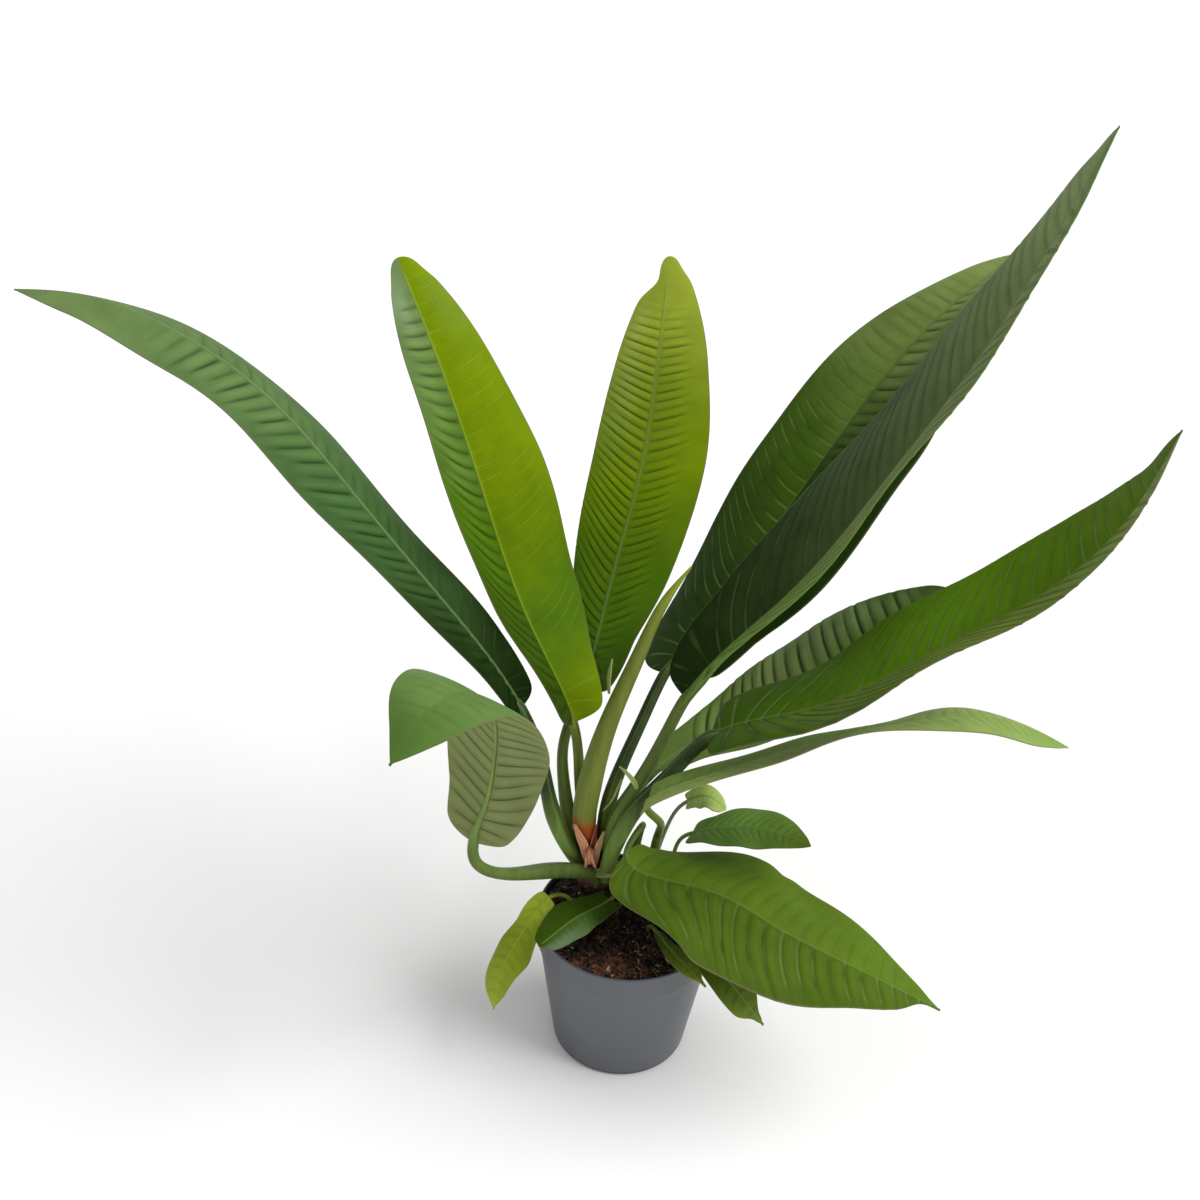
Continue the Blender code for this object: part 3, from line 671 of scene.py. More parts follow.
def mark(piece, name, values):
    """Stores a number for each point, which a material can read."""
    piece.data.attributes.new(name, "FLOAT", "POINT").data.foreach_set("value", values)


def dress(piece, slot, *nodes):
    """Seats a finished piece on the part's body, in place of its plain solids."""
    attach(piece, BODY)
    if nodes:
        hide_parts(*nodes)


# Leaf shape

def spline(points):
    """A natural cubic through points, as a function of distance, and the distances."""
    points = np.array(points, dtype=float)
    steps = np.linalg.norm(np.diff(points, axis=0), axis=1)
    knots = np.concatenate([[0.0], np.cumsum(steps)])
    count = len(points)
    matrix = np.eye(count)
    right = np.zeros(points.shape)
    for i in range(1, count - 1):
        matrix[i, i - 1:i + 2] = steps[i - 1], 2 * (steps[i - 1] + steps[i]), steps[i]
        right[i] = 6 * ((points[i + 1] - points[i]) / steps[i]
                        - (points[i] - points[i - 1]) / steps[i - 1])
    bend = np.linalg.solve(matrix, right)

    def place(distance):
        distance = np.atleast_1d(distance)
        i = np.clip(np.searchsorted(knots, distance, side="right") - 1, 0, count - 2)
        step = steps[i][:, None]
        after = (knots[i + 1] - distance)[:, None]
        before = (distance - knots[i])[:, None]
        curve = (bend[i] * after ** 3 + bend[i + 1] * before ** 3) / (6 * step)
        start = (points[i] / step - bend[i] * step / 6) * after
        end = (points[i + 1] / step - bend[i + 1] * step / 6) * before
        return curve + start + end

    return place, knots


def frames(place, distance, outward):
    """Points, left-hand directions and upper directions along a route."""
    heading = place(distance + 0.5) - place(distance - 0.5)
    heading /= np.linalg.norm(heading, axis=1)[:, None]
    level = np.array([-math.sin(outward), math.cos(outward), 0.0])
    left = level - heading * (heading @ level)[:, None]
    left /= np.linalg.norm(left, axis=1)[:, None]
    return place(distance), left, np.cross(heading, left)


def half_width(share, widths, length, cap):
    """Half the blade's width at a share of its length, through the stations."""
    x = np.array(STATIONS)
    y = np.array([0.0, *widths, 0.0])
    slope = np.zeros(len(x))
    chords = np.diff(y) / np.diff(x)
    for i in range(1, len(x) - 1):
        before, after = chords[i - 1], chords[i]
        if before * after > 0:
            slope[i] = 2 * before * after / (before + after)
    slope[0] = START_STEEPNESS * chords[0]
    slope[-1] = TIP_STEEPNESS * chords[-1]
    i = np.clip(np.searchsorted(x, share, side="right") - 1, 0, len(x) - 2)
    step = x[i + 1] - x[i]
    u = (share - x[i]) / step
    width = (y[i] * (2 * u ** 3 - 3 * u ** 2 + 1) + step * slope[i] * (u ** 3 - 2 * u ** 2 + u)
             + y[i + 1] * (3 * u ** 2 - 2 * u ** 3) + step * slope[i + 1] * (u ** 3 - u ** 2))
    round_end = np.sqrt(np.maximum(cap ** 2 - (cap - (1 - share) * length) ** 2, 0))
    return (np.maximum(width, 0) ** 4 + round_end ** 4) ** 0.25


def between_ends(share):
    """1 along a tube, and 0 at its two ends, which draws them to a point."""
    return np.where((share > 0.0001) & (share < 0.9999), 1, 0)


def rise(value, low, high):
    """A smooth rise from 0 at low to 1 at high."""
    part = np.clip((value - low) / (high - low), 0, 1)
    return part * part * (3 - 2 * part)


def ease(share, angles):
    """Base, middle and tip angles, turned smoothly from one to the next."""
    return (angles[0] + (angles[1] - angles[0]) * rise(share, 0, 0.5)
            + (angles[2] - angles[1]) * rise(share, 0.5, 1))


def ring(angle, first, second):
    """Directions round a stalk or thread, from one direction towards another."""
    return np.cos(angle)[:, None] * first + np.sin(angle)[:, None] * second


def rolled(left, upper, roll):
    """Left-hand and upper directions, turned about the midrib."""
    cosine, sine = np.cos(roll)[:, None], np.sin(roll)[:, None]
    return left * cosine + upper * sine, upper * cosine - left * sine


def rib_relief(leaf, by_side, reach, share, row, phase):
    """Height of the swellings between a blade's ribs, and how strongly shade is painted into the grooves
    beside them.
    """
    rib = leaf.ribs * row
    number = np.round(rib)
    strength = 0.8 + 0.2 * np.sin(number * 2.4 + phase)
    length_out = by_side(leaf.groove_out) * (1 + 0.12 * np.sin(number * 1.7 + phase))
    spread = rise(reach, 0.015, 0.1) * (1 - rise(reach, 0.55 * length_out, length_out))
    spread = spread * rise(share, leaf.rib_start, leaf.rib_start + 0.05)
    spread = spread * (1 - rise(share, leaf.rib_end - 0.1, leaf.rib_end))
    pillow = 1 - (1 - 2 * np.abs(rib - number)) ** 3
    height = by_side(leaf.relief) * strength * spread * (pillow - PILLOW_MEAN)
    return height, by_side(leaf.groove) * strength * spread


def blade_surface(leaf, across, row):
    """Points of a blade's middle surface, with how strongly shade is painted into its grooves, and its
    ridge's height.

    A row of points follows a rib: it leaves the midrib at one share of the blade's length
    and meets the margin further on, at another.
    """
    place, knots = spline(leaf.route)
    start, end = knots[leaf.neck], knots[-1]
    length = end - start
    reach = np.abs(across)
    phase = 5.3 * leaf.outward

    def by_side(pair):
        """The number that a pair gives for each point's half of the blade."""
        return np.where(across > 0, pair[0], pair[1])

    share = 1 - (1 - row ** ROW_EASE) ** TIP_EASE
    share = share + ROW_WOBBLE * np.sin(21 * row + phase) * np.sin(math.pi * row)
    forward = by_side(leaf.slant) - SWEEP
    forward = forward * half_width(share, leaf.half_widths, length, leaf.cap)
    outer = share + forward / length * (1 - share) * rise(share, 0.02, 0.2)
    outer = np.clip(outer, 0, 1)
    widths = np.maximum(half_width(outer, leaf.half_widths, length, leaf.cap), TIP_WIDTH)
    width = widths * (1 + leaf.uneven * np.sign(across))
    for side, at, spread, depth in leaf.nicks:
        nearby = np.exp(-((outer - at) / spread) ** 2) * (np.sign(across) == side)
        width = np.maximum(width - depth * nearby, TIP_WIDTH)

    onset = np.clip(outer / 0.12, 0, 1)
    behind = leaf.lobe * by_side(leaf.lobes) * np.sin(math.pi * np.clip(outer / 0.1, 0, 1))
    middle = start + share * length
    edge = start + outer * length + SWEEP * widths * (1 - outer) * onset - behind
    edge = np.minimum(edge, end)
    distance = middle + (edge - middle) * reach ** leaf.curve
    point = place(distance)
    _, left, upper = frames(place, np.maximum(distance, start + leaf.settle), leaf.outward)
    along = np.clip((distance - start) / length, 0, 1)
    side, lift = rolled(left, upper, ease(along, leaf.roll))
    fold = ease(along, leaf.fold)
    out = across * width * np.cos(fold)
    ripple = leaf.wave * reach * np.sin(2 * math.pi * WAVES * along + across)
    high = (np.sin(fold) * reach - DROOP * reach ** 2) * width
    high = high + ripple * np.sin(math.pi * along)

    relief, depth = rib_relief(leaf, by_side, reach, share, row, phase)
    ridge_half = leaf.ridge * (0.7 + 1.5 * (1 - share)) * (SMALL_RIDGE if leaf.small else 1.0)
    ridge = np.exp(-(reach * width / ridge_half) ** 2) * (1 - rise(share, leaf.rib_end, 1.0))
    high = high + relief + RIDGE_HEIGHT * ridge_half * ridge
    return point + side * out[:, None] + lift * high[:, None], depth, ridge


def stalk_surface(leaf, settings, turn, row):
    """Points of the stalk and, past the neck, of the midrib under the blade."""
    place, knots = spline(leaf.route)
    neck, end = knots[leaf.neck], knots[-1]
    sink = settings.stalk_sink / MM
    distance = -sink + row * (end * MIDRIB_REACH + sink)
    point, left, upper = frames(place, np.maximum(distance, 0), leaf.outward)
    point[:, 2] += np.minimum(distance, 0)
    on_blade = np.clip((distance - neck) / (end - neck), 0, 1)
    past_neck = np.clip(on_blade / 0.04, 0, 1)
    radius = np.interp(distance / neck, (0, 0.35, 1), leaf.stalk)
    swelling = 0.0 if leaf.small else FOOT_SWELLING
    radius = radius * (1 + swelling * np.exp(-((distance - 16) / 42) ** 2))
    rib = leaf.stalk[2] * (0.3 + 0.7 * np.exp(-on_blade / 0.07)) * (1 - on_blade) ** 0.7
    radius = np.where(distance > neck, rib, radius) * between_ends(row)
    drop = radius * past_neck
    angle = 2 * math.pi * turn
    channel = np.exp(-((angle - math.pi / 2) / 0.45) ** 2) * (1 - past_neck)
    radius = radius * (1 - CHANNEL_DEPTH * channel * rise(distance, 5, 40))
    side, lift = rolled(left, upper, ease(on_blade, leaf.roll))
    return point - lift * drop[:, None] + radius[:, None] * ring(angle, side, lift)


# Leaf materials

def greens_along(finish, greens, names, place):
    """A green that changes along a blade, over three colours, or four where its lobe has its own."""
    stops = (0.1, 0.42, 0.94) if len(names) == 3 else (0.04, 0.2, 0.5, 0.94)
    return finish.ramp(place, [(stop, getattr(greens, name)) for stop, name in zip(stops, names)])


def blade_material(leaf, greens):
    """Green upper face: painted shade in the grooves and painted light on the crests between them, a midrib,
    a dry edge and a painted sheen over a clear coat.
    """
    finish = Finish(leaf.name + "_upper", Specular_IOR_Level=0.03, Coat_Roughness=0.3)
    u, v = finish.uv()
    depth, ridge, reach = (finish.attribute(name) for name in ("depth", "ridge", "reach"))
    rib = v * leaf.ribs
    near = 1 - abs(rib.fraction() * 2 - 1)
    on_left = u.step(0.505, 0.495)

    def by_side(pair):
        """A number that is one on the left half and another on the right."""
        return on_left * (pair[0] - pair[1]) + pair[1]

    place = v + (finish.noise(24, 3) * 0.2 - 0.1)
    # The halves' different greens and lightness, and a darker foot, are partly their own tone and partly
    # painted light and shade for how each part is lit.
    left = greens_along(finish, greens, leaf.left, place)
    right = greens_along(finish, greens, leaf.right, place)
    green = finish.mix(on_left, right, left)
    # Painted light: the crests between the grooves are lightened, as if lit.
    crest = near.step(0.15, 0.9) * depth * 0.4
    tone = crest + finish.noise(65, 4) * 0.36 + finish.noise(12, 2) * 0.34 + 0.53
    green = finish.scaled(green, tone * by_side(leaf.light))

    # Painted shade: the grooves are darkened towards the shade green.
    line = near.step(leaf.stroke, 0.0) * depth
    shade = reach.step(0.75, 0.05) * by_side(leaf.hollow) * v.step(0.92, 0.7)
    pale = near.step(0.26, 0.04) * by_side(leaf.pale_veins) * finish.noise(34, 2).step(0.34, 0.62)
    # Painted sheen: patches of bluish white reflection painted on, with a clear coat under them.
    where = v.step(leaf.sheen_from, leaf.sheen_from + 0.35) * v.step(1.0, 0.9)
    sheen = finish.noise(16, 3).step(0.36, 0.66) * where * reach.step(0.15, 0.7)
    sheen = sheen * by_side(leaf.sheen) * (1 - line)
    layers = [(line * 0.85, "shade"), (shade, "forest"),
              (pale * reach.step(1.0, 0.75) * 0.7, leaf.pale), (sheen * 0.75, "painted_sheen"),
              (ridge.step(0.3, 0.85) * leaf.line, leaf.midrib),
              (reach.step(0.975, 0.996) * 0.6, leaf.rim)]
    for share, name in layers:
        green = finish.mix(share, green, getattr(greens, name))
    finish.set("Coat Weight", (sheen * 0.5).clamped())
    threads = finish.lines(rib * THREADS_PER_RIB, 0.3) * reach.step(1.0, 0.6)
    return finish.done(green, finish.noise(160, 3) * 0.22 + 0.4,
                       finish.noise(900, 2) * 0.8 - threads, 0.00014, 0.6)


def underside_material(leaf, greens):
    """Pale back of a blade, with painted shade lines beside its ribs and painted light on the swellings
    between them.
    """
    finish = Finish(leaf.name + "_underside", Specular_IOR_Level=0.03)
    _, v = finish.uv()
    rib = v * leaf.ribs
    near = 1 - abs(rib.fraction() * 2 - 1)
    # Painted light on the swellings between ribs, and painted shade in the lines beside them.
    tone = finish.noise(45, 3) * 0.4 + near.step(0.3, 0.9) * 0.1 + 0.74
    line = near.step(0.28, 0.04) * finish.attribute("depth") * 1.1 * leaf.back_lines
    green = finish.scaled(getattr(greens, leaf.back), tone)
    threads = finish.lines(rib * THREADS_PER_RIB, 0.3) * 0.6
    return finish.done(finish.mix(line, green, greens.ash), finish.noise(200, 2) * 0.2 + 0.5,
                       finish.noise(700, 2) + threads, 0.00014, 0.6)


def stalk_material(leaf, greens):
    """Fibrous stalk, paler where it runs on as a midrib under the blade, with painted shade in its channel
    and a painted highlight along the channel's edges.
    """
    finish = Finish(leaf.name + "_stalk", Specular_IOR_Level=0.12)
    u, v = finish.uv()
    _, knots = spline(leaf.route)
    neck = knots[leaf.neck] / knots[-1]
    foot, stem, midrib = (getattr(greens, name) for name in (leaf.foot, leaf.stem, leaf.midrib))
    stops = [(0.0, foot), (0.3 * neck, foot), (0.6 * neck, stem), (neck, stem),
             (min(neck + 0.06, 0.9), midrib)]
    colour = finish.ramp(v + (finish.noise(60, 2) * 0.03 - 0.015), stops)
    streaks = finish.streaks((260, 260, 30))
    # Painted shade: darker inside the channel on the upper side.
    channel = abs(u - 0.25)
    colour = finish.scaled(colour, streaks * 0.8 + 0.62 - channel.step(0.09, 0.02) * 0.3)
    # Painted highlight: pale lines along the edges of the channel.
    channel_edge = abs(channel - 0.11).step(0.03, 0.0) * 0.45
    return finish.done(finish.mix(channel_edge, colour, greens.leek),
                       finish.noise(120, 2) * 0.2 + 0.36, streaks, 0.0002, 0.5)


def make_leaf(leaf, settings, greens):
    columns = settings.columns // 2 + 4 if leaf.small else settings.columns
    blade, x, y = add_sheet(leaf.name + "_fine", columns, leaf.ribs * settings.rows_per_rib)
    across = 1 - 2 * x
    across = np.sign(across) * np.abs(across) ** COLUMN_EASE
    points, depth, ridge = blade_surface(leaf, across, y)
    shape(blade, points)
    # depth is the strength of the painted shade in the grooves, which the materials read
    for name, values in (("reach", np.abs(across)), ("depth", depth), ("ridge", ridge)):
        mark(blade, name, values)
    blade.data.materials.append(blade_material(leaf, greens))
    blade.data.materials.append(underside_material(leaf, greens))
    thicken(blade, settings.thickness, underside_slot=1)
    rows = settings.small_stalk_rows if leaf.small else settings.stalk_rows
    stalk, turn, row = add_sheet(leaf.name + "_tube", settings.stalk_sides, rows)
    shape(stalk, stalk_surface(leaf, settings, turn, row))
    close_seams(stalk)
    stalk.data.materials.append(stalk_material(leaf, greens))
    piece = join([blade, stalk], leaf.name + "_fine")
    smooth(piece, 60)
    dress(piece, "young_leaf" if leaf.name in YOUNG_LEAVES else "leaf", leaf.name)


# Rolled leaf and crown

def make_rolled_leaf(greens):
    """The newest leaf: a sheet rolled up, with its free edge running up the side."""
    place, knots = spline(SPIKE_ROUTE)
    piece, u, v = add_sheet("leaf_new_rolled_fine", 64, 120)
    distance = v * knots[-1]
    point, left, upper = frames(place, distance, math.radians(30))
    radius = np.interp(distance, knots, SPIKE_RADII)
    angle = 2 * math.pi * SPIKE_TURNS * u - 1.5 + 0.5 * v
    curl = radius * (0.92 + 0.08 * rise(u, 0.15, 0.35))
    shape(piece, point + curl[:, None] * ring(angle, left * 1.06, upper * 0.94))
    thicken(piece, 0.0006, offset=-1)
    coat(piece, rolled_material(greens), 50)
    dress(piece, "rolled_leaf", "leaf_new_rolled")


def rolled_material(greens):
    """Smooth rolled blade: orange at the foot, yellow-green above, with faint long veins."""
    finish = Finish("rolled_leaf_green", Specular_IOR_Level=0.12, Coat_Weight=0.04)
    u, v = finish.uv()
    place = v + (finish.noise(50, 2) * 0.04 - 0.02)
    colour = finish.ramp(place, [(0.10, greens.sheath_dark), (0.125, greens.blush), (0.155, greens.blush),
                                 (0.20, greens.rolled), (0.8, greens.rolled), (0.97, greens.lime)])
    streaks = finish.streaks((300, 300, 22))
    veins = finish.lines(u * 46 + streaks * 0.6, 0.3)
    colour = finish.scaled(colour, streaks * 0.5 + 0.78 - veins * 0.06)
    free_edge = u.step(0.985, 1.0) * 0.5
    return finish.done(finish.mix(free_edge, colour, greens.pale), finish.noise(90, 2) * 0.2 + 0.4,
                       streaks - veins * 0.5, 0.00025, 0.6)


def curved_strip(name, foot, tip, half_breadth, bulge, thickness, material):
    """A pointed strip of dry skin from foot to tip, bent outwards and cupped across."""
    foot, tip, bulge = (np.array(place, float) for place in (foot, tip, bulge))
    piece, u, v = add_sheet(name, 12, 36)
    across = 2 * u - 1
    axis = (tip - foot) / np.linalg.norm(tip - foot)
    outward = bulge - axis * (bulge @ axis)
    outward /= np.linalg.norm(outward)
    side = np.cross(axis, outward)
    wide = half_breadth * np.sin(math.pi * np.clip(0.18 + 0.82 * v, 0, 1)) ** 0.8 + 0.15
    middle = foot + np.outer(v, tip - foot) + np.outer(np.sin(math.pi * v), bulge)
    cupped = -0.35 * half_breadth * across ** 2 + 0.12 * np.sin(11 * across + 9 * v)
    shape(piece, middle + side * (wide * across)[:, None] + outward * cupped[:, None])
    thicken(piece, thickness * MM)
    coat(piece, material, 50)
    return piece


def thread(name, points, radius, material, rows=40, taper=0.4):
    """A thin round string or rootlet through a few points."""
    place, knots = spline(points)
    piece, u, v = add_sheet(name, 8, rows)
    point, left, upper = frames(place, v * knots[-1], 0.7)
    size = radius * (1 - (1 - taper) * v) * (1 + 0.12 * np.sin(31 * v)) * between_ends(v)
    shape(piece, point + size[:, None] * ring(2 * math.pi * u, left, upper))
    close_seams(piece)
    coat(piece, material, 60)
    return piece


def dry_material(name, foot, middle, tip):
    """Dry fibrous skin that changes colour from its foot to its tip."""
    finish = Finish(name, Specular_IOR_Level=0.2)
    u, v = finish.uv()
    fibres = finish.streaks((900, 900, 60), 4)
    colour = finish.ramp(v + (fibres * 0.3 - 0.15), [(0.0, foot), (0.4, middle), (1.0, tip)])
    colour = finish.mix(fibres.step(0.52, 0.7) * 0.45, colour, foot)
    colour = finish.mix(abs(u * 2 - 1).step(0.55, 1.0) * 0.4, colour, paint(232, 200, 170))
    return finish.done(finish.scaled(colour, fibres * 0.6 + 0.7), fibres * 0.2 + 0.55,
                       fibres, 0.0004, 0.7)


def dry_scale(name, route, half_widths, material):
    """A broad dry scale along a route, bowed across and thin at its edges."""
    place, knots = spline(route)
    piece, u, v = add_sheet(name, 16, 40)
    across = 2 * u - 1
    wide = np.interp(v, np.linspace(0, 1, len(half_widths)), half_widths)
    wide = wide * (1 + 0.05 * np.sin(17 * v + 3 * across))
    bow = -0.3 * wide * across ** 2 + 0.1 * np.sin(9 * across + 5 * v)
    frayed = 1.2 * rise(v, 0.85, 1.0) * np.sin(7 * across) ** 2
    shape(piece, place(v * knots[-1]) + np.stack([across * wide, -bow, -frayed], 1))
    thicken(piece, 0.0005)
    coat(piece, material, 50)
    return piece


def make_crown_scales(greens):
    """Two dry scales that part in front of the rolled leaf, salmon outside and red between."""
    red, salmon = greens.sheath_dark, greens.sheath
    left = dry_scale("crown_scale_left_fine", [(-26.5, 22.5, 124), (-29.5, 20.2, 140), (-38, 21.2, 162)],
                     (1.6, 3.0, 3.5, 3.1, 2.3, 0.9), dry_material("left_scale_skin", red, salmon, salmon))
    dress(left, "dry_scale", "crown_scale_left")
    right = dry_scale("crown_scale_right_fine", [(-23, 22.5, 124), (-22, 20.2, 140), (-18, 21.4, 157)],
                      (1.3, 2.0, 2.3, 2.2, 1.6, 0.6),
                      dry_material("right_scale_skin", red, paint(196, 148, 112), paint(176, 150, 104)))
    dress(right, "dry_scale", "crown_scale_right")
    inner = dry_scale("crown_scale_inner", [(-25, 22.4, 126), (-24.5, 21.6, 146), (-23, 22.4, 162)],
                      (2.0, 2.4, 2.4, 1.6, 1.0, 0.5), dry_material("red_scale_skin", red, red, red))
    dress(inner, "dry_scale")


def make_dry_bits(greens):
    """Rootlets, withered strings, a sheath tip and the torn end of an old leaf stalk."""
    root = dry_material("young_root", greens.sheath_dark, greens.sheath, greens.sheath)
    dry = dry_material("withered_skin", greens.leek, greens.pale, greens.pale)
    torn = dry_material("torn_skin", greens.grey_olive, greens.leek, paint(190, 182, 140))
    routes = [[(-28, 20, 142), (-28.6, 17, 140), (-28.8, 15.4, 135), (-29, 15, 130)],
              [(-25, 20, 143), (-25.6, 17, 141), (-24.4, 15, 136), (-22, 14.6, 130.5)],
              [(-26.6, 20, 144), (-27.2, 16.8, 142.5), (-27, 15.4, 138), (-26.6, 15.0, 133)]]
    roots = [thread("rootlet", route, 1.7, root, rows=14, taper=0.45) for route in routes]
    string = [(-8.6, 13, 209), (-10.6, 13, 203), (-15, 12.5, 190), (-20.4, 13, 181)]
    pieces = [
        join(roots, "rootlets"),
        curved_strip("withered_string_upper", (1.5, 11, 203), (-11, 13, 219), 1.5, (2, -2, 1), 0.5, dry),
        thread("withered_string_lower", string, 0.9, dry, rows=20),
        curved_strip("sheath_tip", (-20.5, 31, 262), (-19.6, 33, 287), 1.5, (-1, -1, 0), 0.5, dry),
        curved_strip("torn_stalk_end", (-25, 19, 123), (-9, 19, 121), 2.6, (0, -2, 2), 0.8, torn),
    ]
    for piece in pieces:
        dress(piece, "dry_scale")


def crown_material(greens):
    """Fleshy stem that is brown in the soil and green above, with a red band between."""
    finish = Finish("crown_flesh")
    fibres = finish.streaks((240, 240, 900), 4)
    level = finish.height() + (fibres * 0.01 - 0.005)
    colour = finish.ramp(level.step(0.1, 0.126),
                         [(0.0, (0.02, 0.012, 0.008)), (0.5, (0.06, 0.035, 0.018)),
                          (0.85, greens.sheath_dark), (1.0, greens.stem)])
    return finish.done(colour, fibres * 0.2 + 0.55, fibres, 0.0006, 0.8)


def make_crown(greens):
    """The thick stem: rings of old leaf scars, with a swelling under each stalk."""
    profile = [(0, 84), (11.5, 84), (14.0, 87), (14.3, 98), (14.0, 108), (13.6, 114), (12, CROWN_TOP),
               (8.0, CROWN_TOP + 1.5), (0, CROWN_TOP + 1.5)]
    piece, u, v = add_sheet("crown_fine", 96, 60)
    lengths = np.concatenate([[0], np.cumsum([math.dist(a, b) for a, b in zip(profile, profile[1:])])])
    radius, height = (np.interp(v * lengths[-1], lengths, values) for values in zip(*profile))
    angle = 2 * math.pi * u
    swell = 0.5 * np.cos(STALKS_ON_CROWN * angle + 0.6) * rise(height, 100, 116) * rise(radius, 2, 10)
    rings = 0.35 * np.sin(height * 1.9 + 0.8 * np.sin(angle * 2)) * rise(radius, 6, 12)
    radius = radius + swell + rings
    shape(piece, np.stack([CROWN_X + radius * np.cos(angle), CROWN_Y + radius * np.sin(angle), height], 1))
    close_seams(piece)
    coat(piece, crown_material(greens), 60)
    dress(piece, "crown", "crown")


# Pot

def turned(name, profile, sides):
    """A closed shell turned about the Z axis from an outline, in millimetres."""
    piece, u, v = add_sheet(name, sides, len(profile) - 1)
    row = np.rint(v * (len(profile) - 1)).astype(int)
    radius, height = np.array(profile)[row].T
    angle = -2 * math.pi * u
    shape(piece, np.stack([radius * np.cos(angle), radius * np.sin(angle), height], 1))
    close_seams(piece)
    return piece


def arc(centre, radius, start, end, count=6):
    """Points of a round corner in the outline, angles in degrees."""
    turns = np.radians(np.linspace(start, end, count))
    return [(centre[0] + radius * math.cos(a), centre[1] + radius * math.sin(a)) for a in turns]


def pot_material(settings):
    """Moulded plastic: fine grain, faint flow marks, soil near the rim and a painted contact shadow along
    the foot.
    """
    finish = Finish("grey_pot_plastic", Specular_IOR_Level=0.85)
    height = finish.height()
    grain = finish.noise(2600, 2)
    flow = finish.streaks((18, 18, 90))
    dust = finish.noise(55, 5, 0.65)
    colour = finish.scaled(settings.plastic, flow * 0.16 + grain * 0.1 + 0.87)
    soiled = dust.step(0.55, 0.85) * height.step(0.06, 0.105) * 0.35
    colour = finish.mix(soiled, colour, (0.07, 0.055, 0.045))
    # Painted shadow: a dark band along the lowest few millimetres, where the pot meets the floor.
    colour = finish.mix(height.step(0.0048, 0.0026) * 0.85, colour, (0.012, 0.012, 0.012))
    finish.bump(grain, 0.00006, 0.6)
    return finish.done(colour, dust * 0.14 + grain * 0.06 + 0.3, flow, 0.0004, 0.35)


def pot_outline(rim, top, wall, floor, base, band):
    """The pot's section in millimetres: up the outside, over the lip and down the inside."""
    body = rim - 2.0
    lip = 0.9
    steps = 14
    outside = [(0, 0.8), (base - 8, 0.8), (base - 7, 0), *arc((base - 3, 3), 3, -90, -8)]
    outside += [(base + (body - base) * k / steps, 3 + (band - 4) * k / steps) for k in range(1, steps)]
    step = [(body - 0.1, band - 0.6), (body + 0.25, band - 0.1), (rim - 0.9, band + 0.35)]
    skirt = [(rim - 0.45, band + 0.8), (rim - 0.25, band + 6), (rim - 0.15, top - 4.5),
             (rim - 0.1, top - 2.4)]
    inside = [(rim - wall - 0.2, top - 3), (body - wall + 0.4, band), (base - wall + 0.3, floor + 1.2),
              (base - wall - 1, floor), (0, floor)]
    return outside + step + skirt + arc((rim - lip, top - lip), lip, 0, 180, 9) + inside


def make_pot(settings):
    _, high = (np.array(corner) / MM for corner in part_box("pot"))
    rim, top = high[0], high[2]
    outline = pot_outline(rim, top, settings.wall / MM, settings.floor / MM,
                          settings.base_radius / MM, top - settings.band / MM)
    pot = turned("pot_fine", outline, settings.sides)
    places = points_of(pot) / MM
    angle = np.arctan2(places[:, 1], places[:, 0])
    away = np.hypot(places[:, 0], places[:, 1])
    sag = 0.35 * np.sin(3 * angle + 0.8) * rise(places[:, 2], 20, top) * away / rim
    dent = -0.9 * np.exp(-((angle + 2.3) / 0.35) ** 2 - ((places[:, 2] - 30) / 16) ** 2)
    push = (sag + dent * (away > 0.5 * rim)) / np.maximum(away, 1)
    places[:, :2] *= (1 + push)[:, None]
    shape(pot, places)
    for k in range(DRAINAGE_HOLES):
        turn = math.radians(7) + 2 * math.pi * k / DRAINAGE_HOLES
        bpy.ops.mesh.primitive_cylinder_add(
            vertices=32, radius=settings.hole_radius, depth=4 * settings.floor,
            location=(settings.hole_circle * math.cos(turn), settings.hole_circle * math.sin(turn), 0))
        punch = bpy.context.object
        select_only(pot)
        bpy.ops.object.modifier_add(type="BOOLEAN")
        pot.modifiers[-1].object = punch
        pot.modifiers[-1].operation = "DIFFERENCE"
        bpy.ops.object.modifier_apply(modifier=pot.modifiers[-1].name)
        bpy.data.objects.remove(punch, do_unlink=True)
    coat(pot, pot_material(settings), 35)
    dress(pot, "pot_plastic", "pot")


# Soil

def soil_height(x, y):
    """The soil's surface in millimetres, mounded round the crown."""
    away = ((x - CROWN_X) ** 2 + (y - CROWN_Y) ** 2) / (2 * SOIL_MOUND_SPREAD ** 2)
    lumps = np.sin(0.31 * x + 0.9) * np.sin(0.27 * y) + 0.6 * np.sin(0.17 * (x + y) + 2)
    return SOIL_LEVEL + SOIL_MOUND * np.exp(-away) + 1.2 * lumps


def soil_material(settings):
    """Moist peat: black gaps, brown crumbs and reddish bark."""
    finish = Finish("dark_soil", Specular_IOR_Level=0.25)
    crumbs = finish.noise(420, 6, 0.7)
    cells = finish.node("ShaderNodeTexVoronoi", {"feature": "F1"},
                        {"Vector": finish.object_place(), "Scale": 650.0})
    grain = Signal(finish, cells.outputs["Distance"])
    colour = finish.ramp(crumbs, [(0.30, (0.003, 0.002, 0.002)), (0.52, settings.peat),
                                  (0.70, (0.03, 0.016, 0.010)), (0.88, settings.bark)])
    return finish.done(colour, crumbs * 0.25 + 0.7, crumbs + grain * 0.6, 0.0012, 1.0)


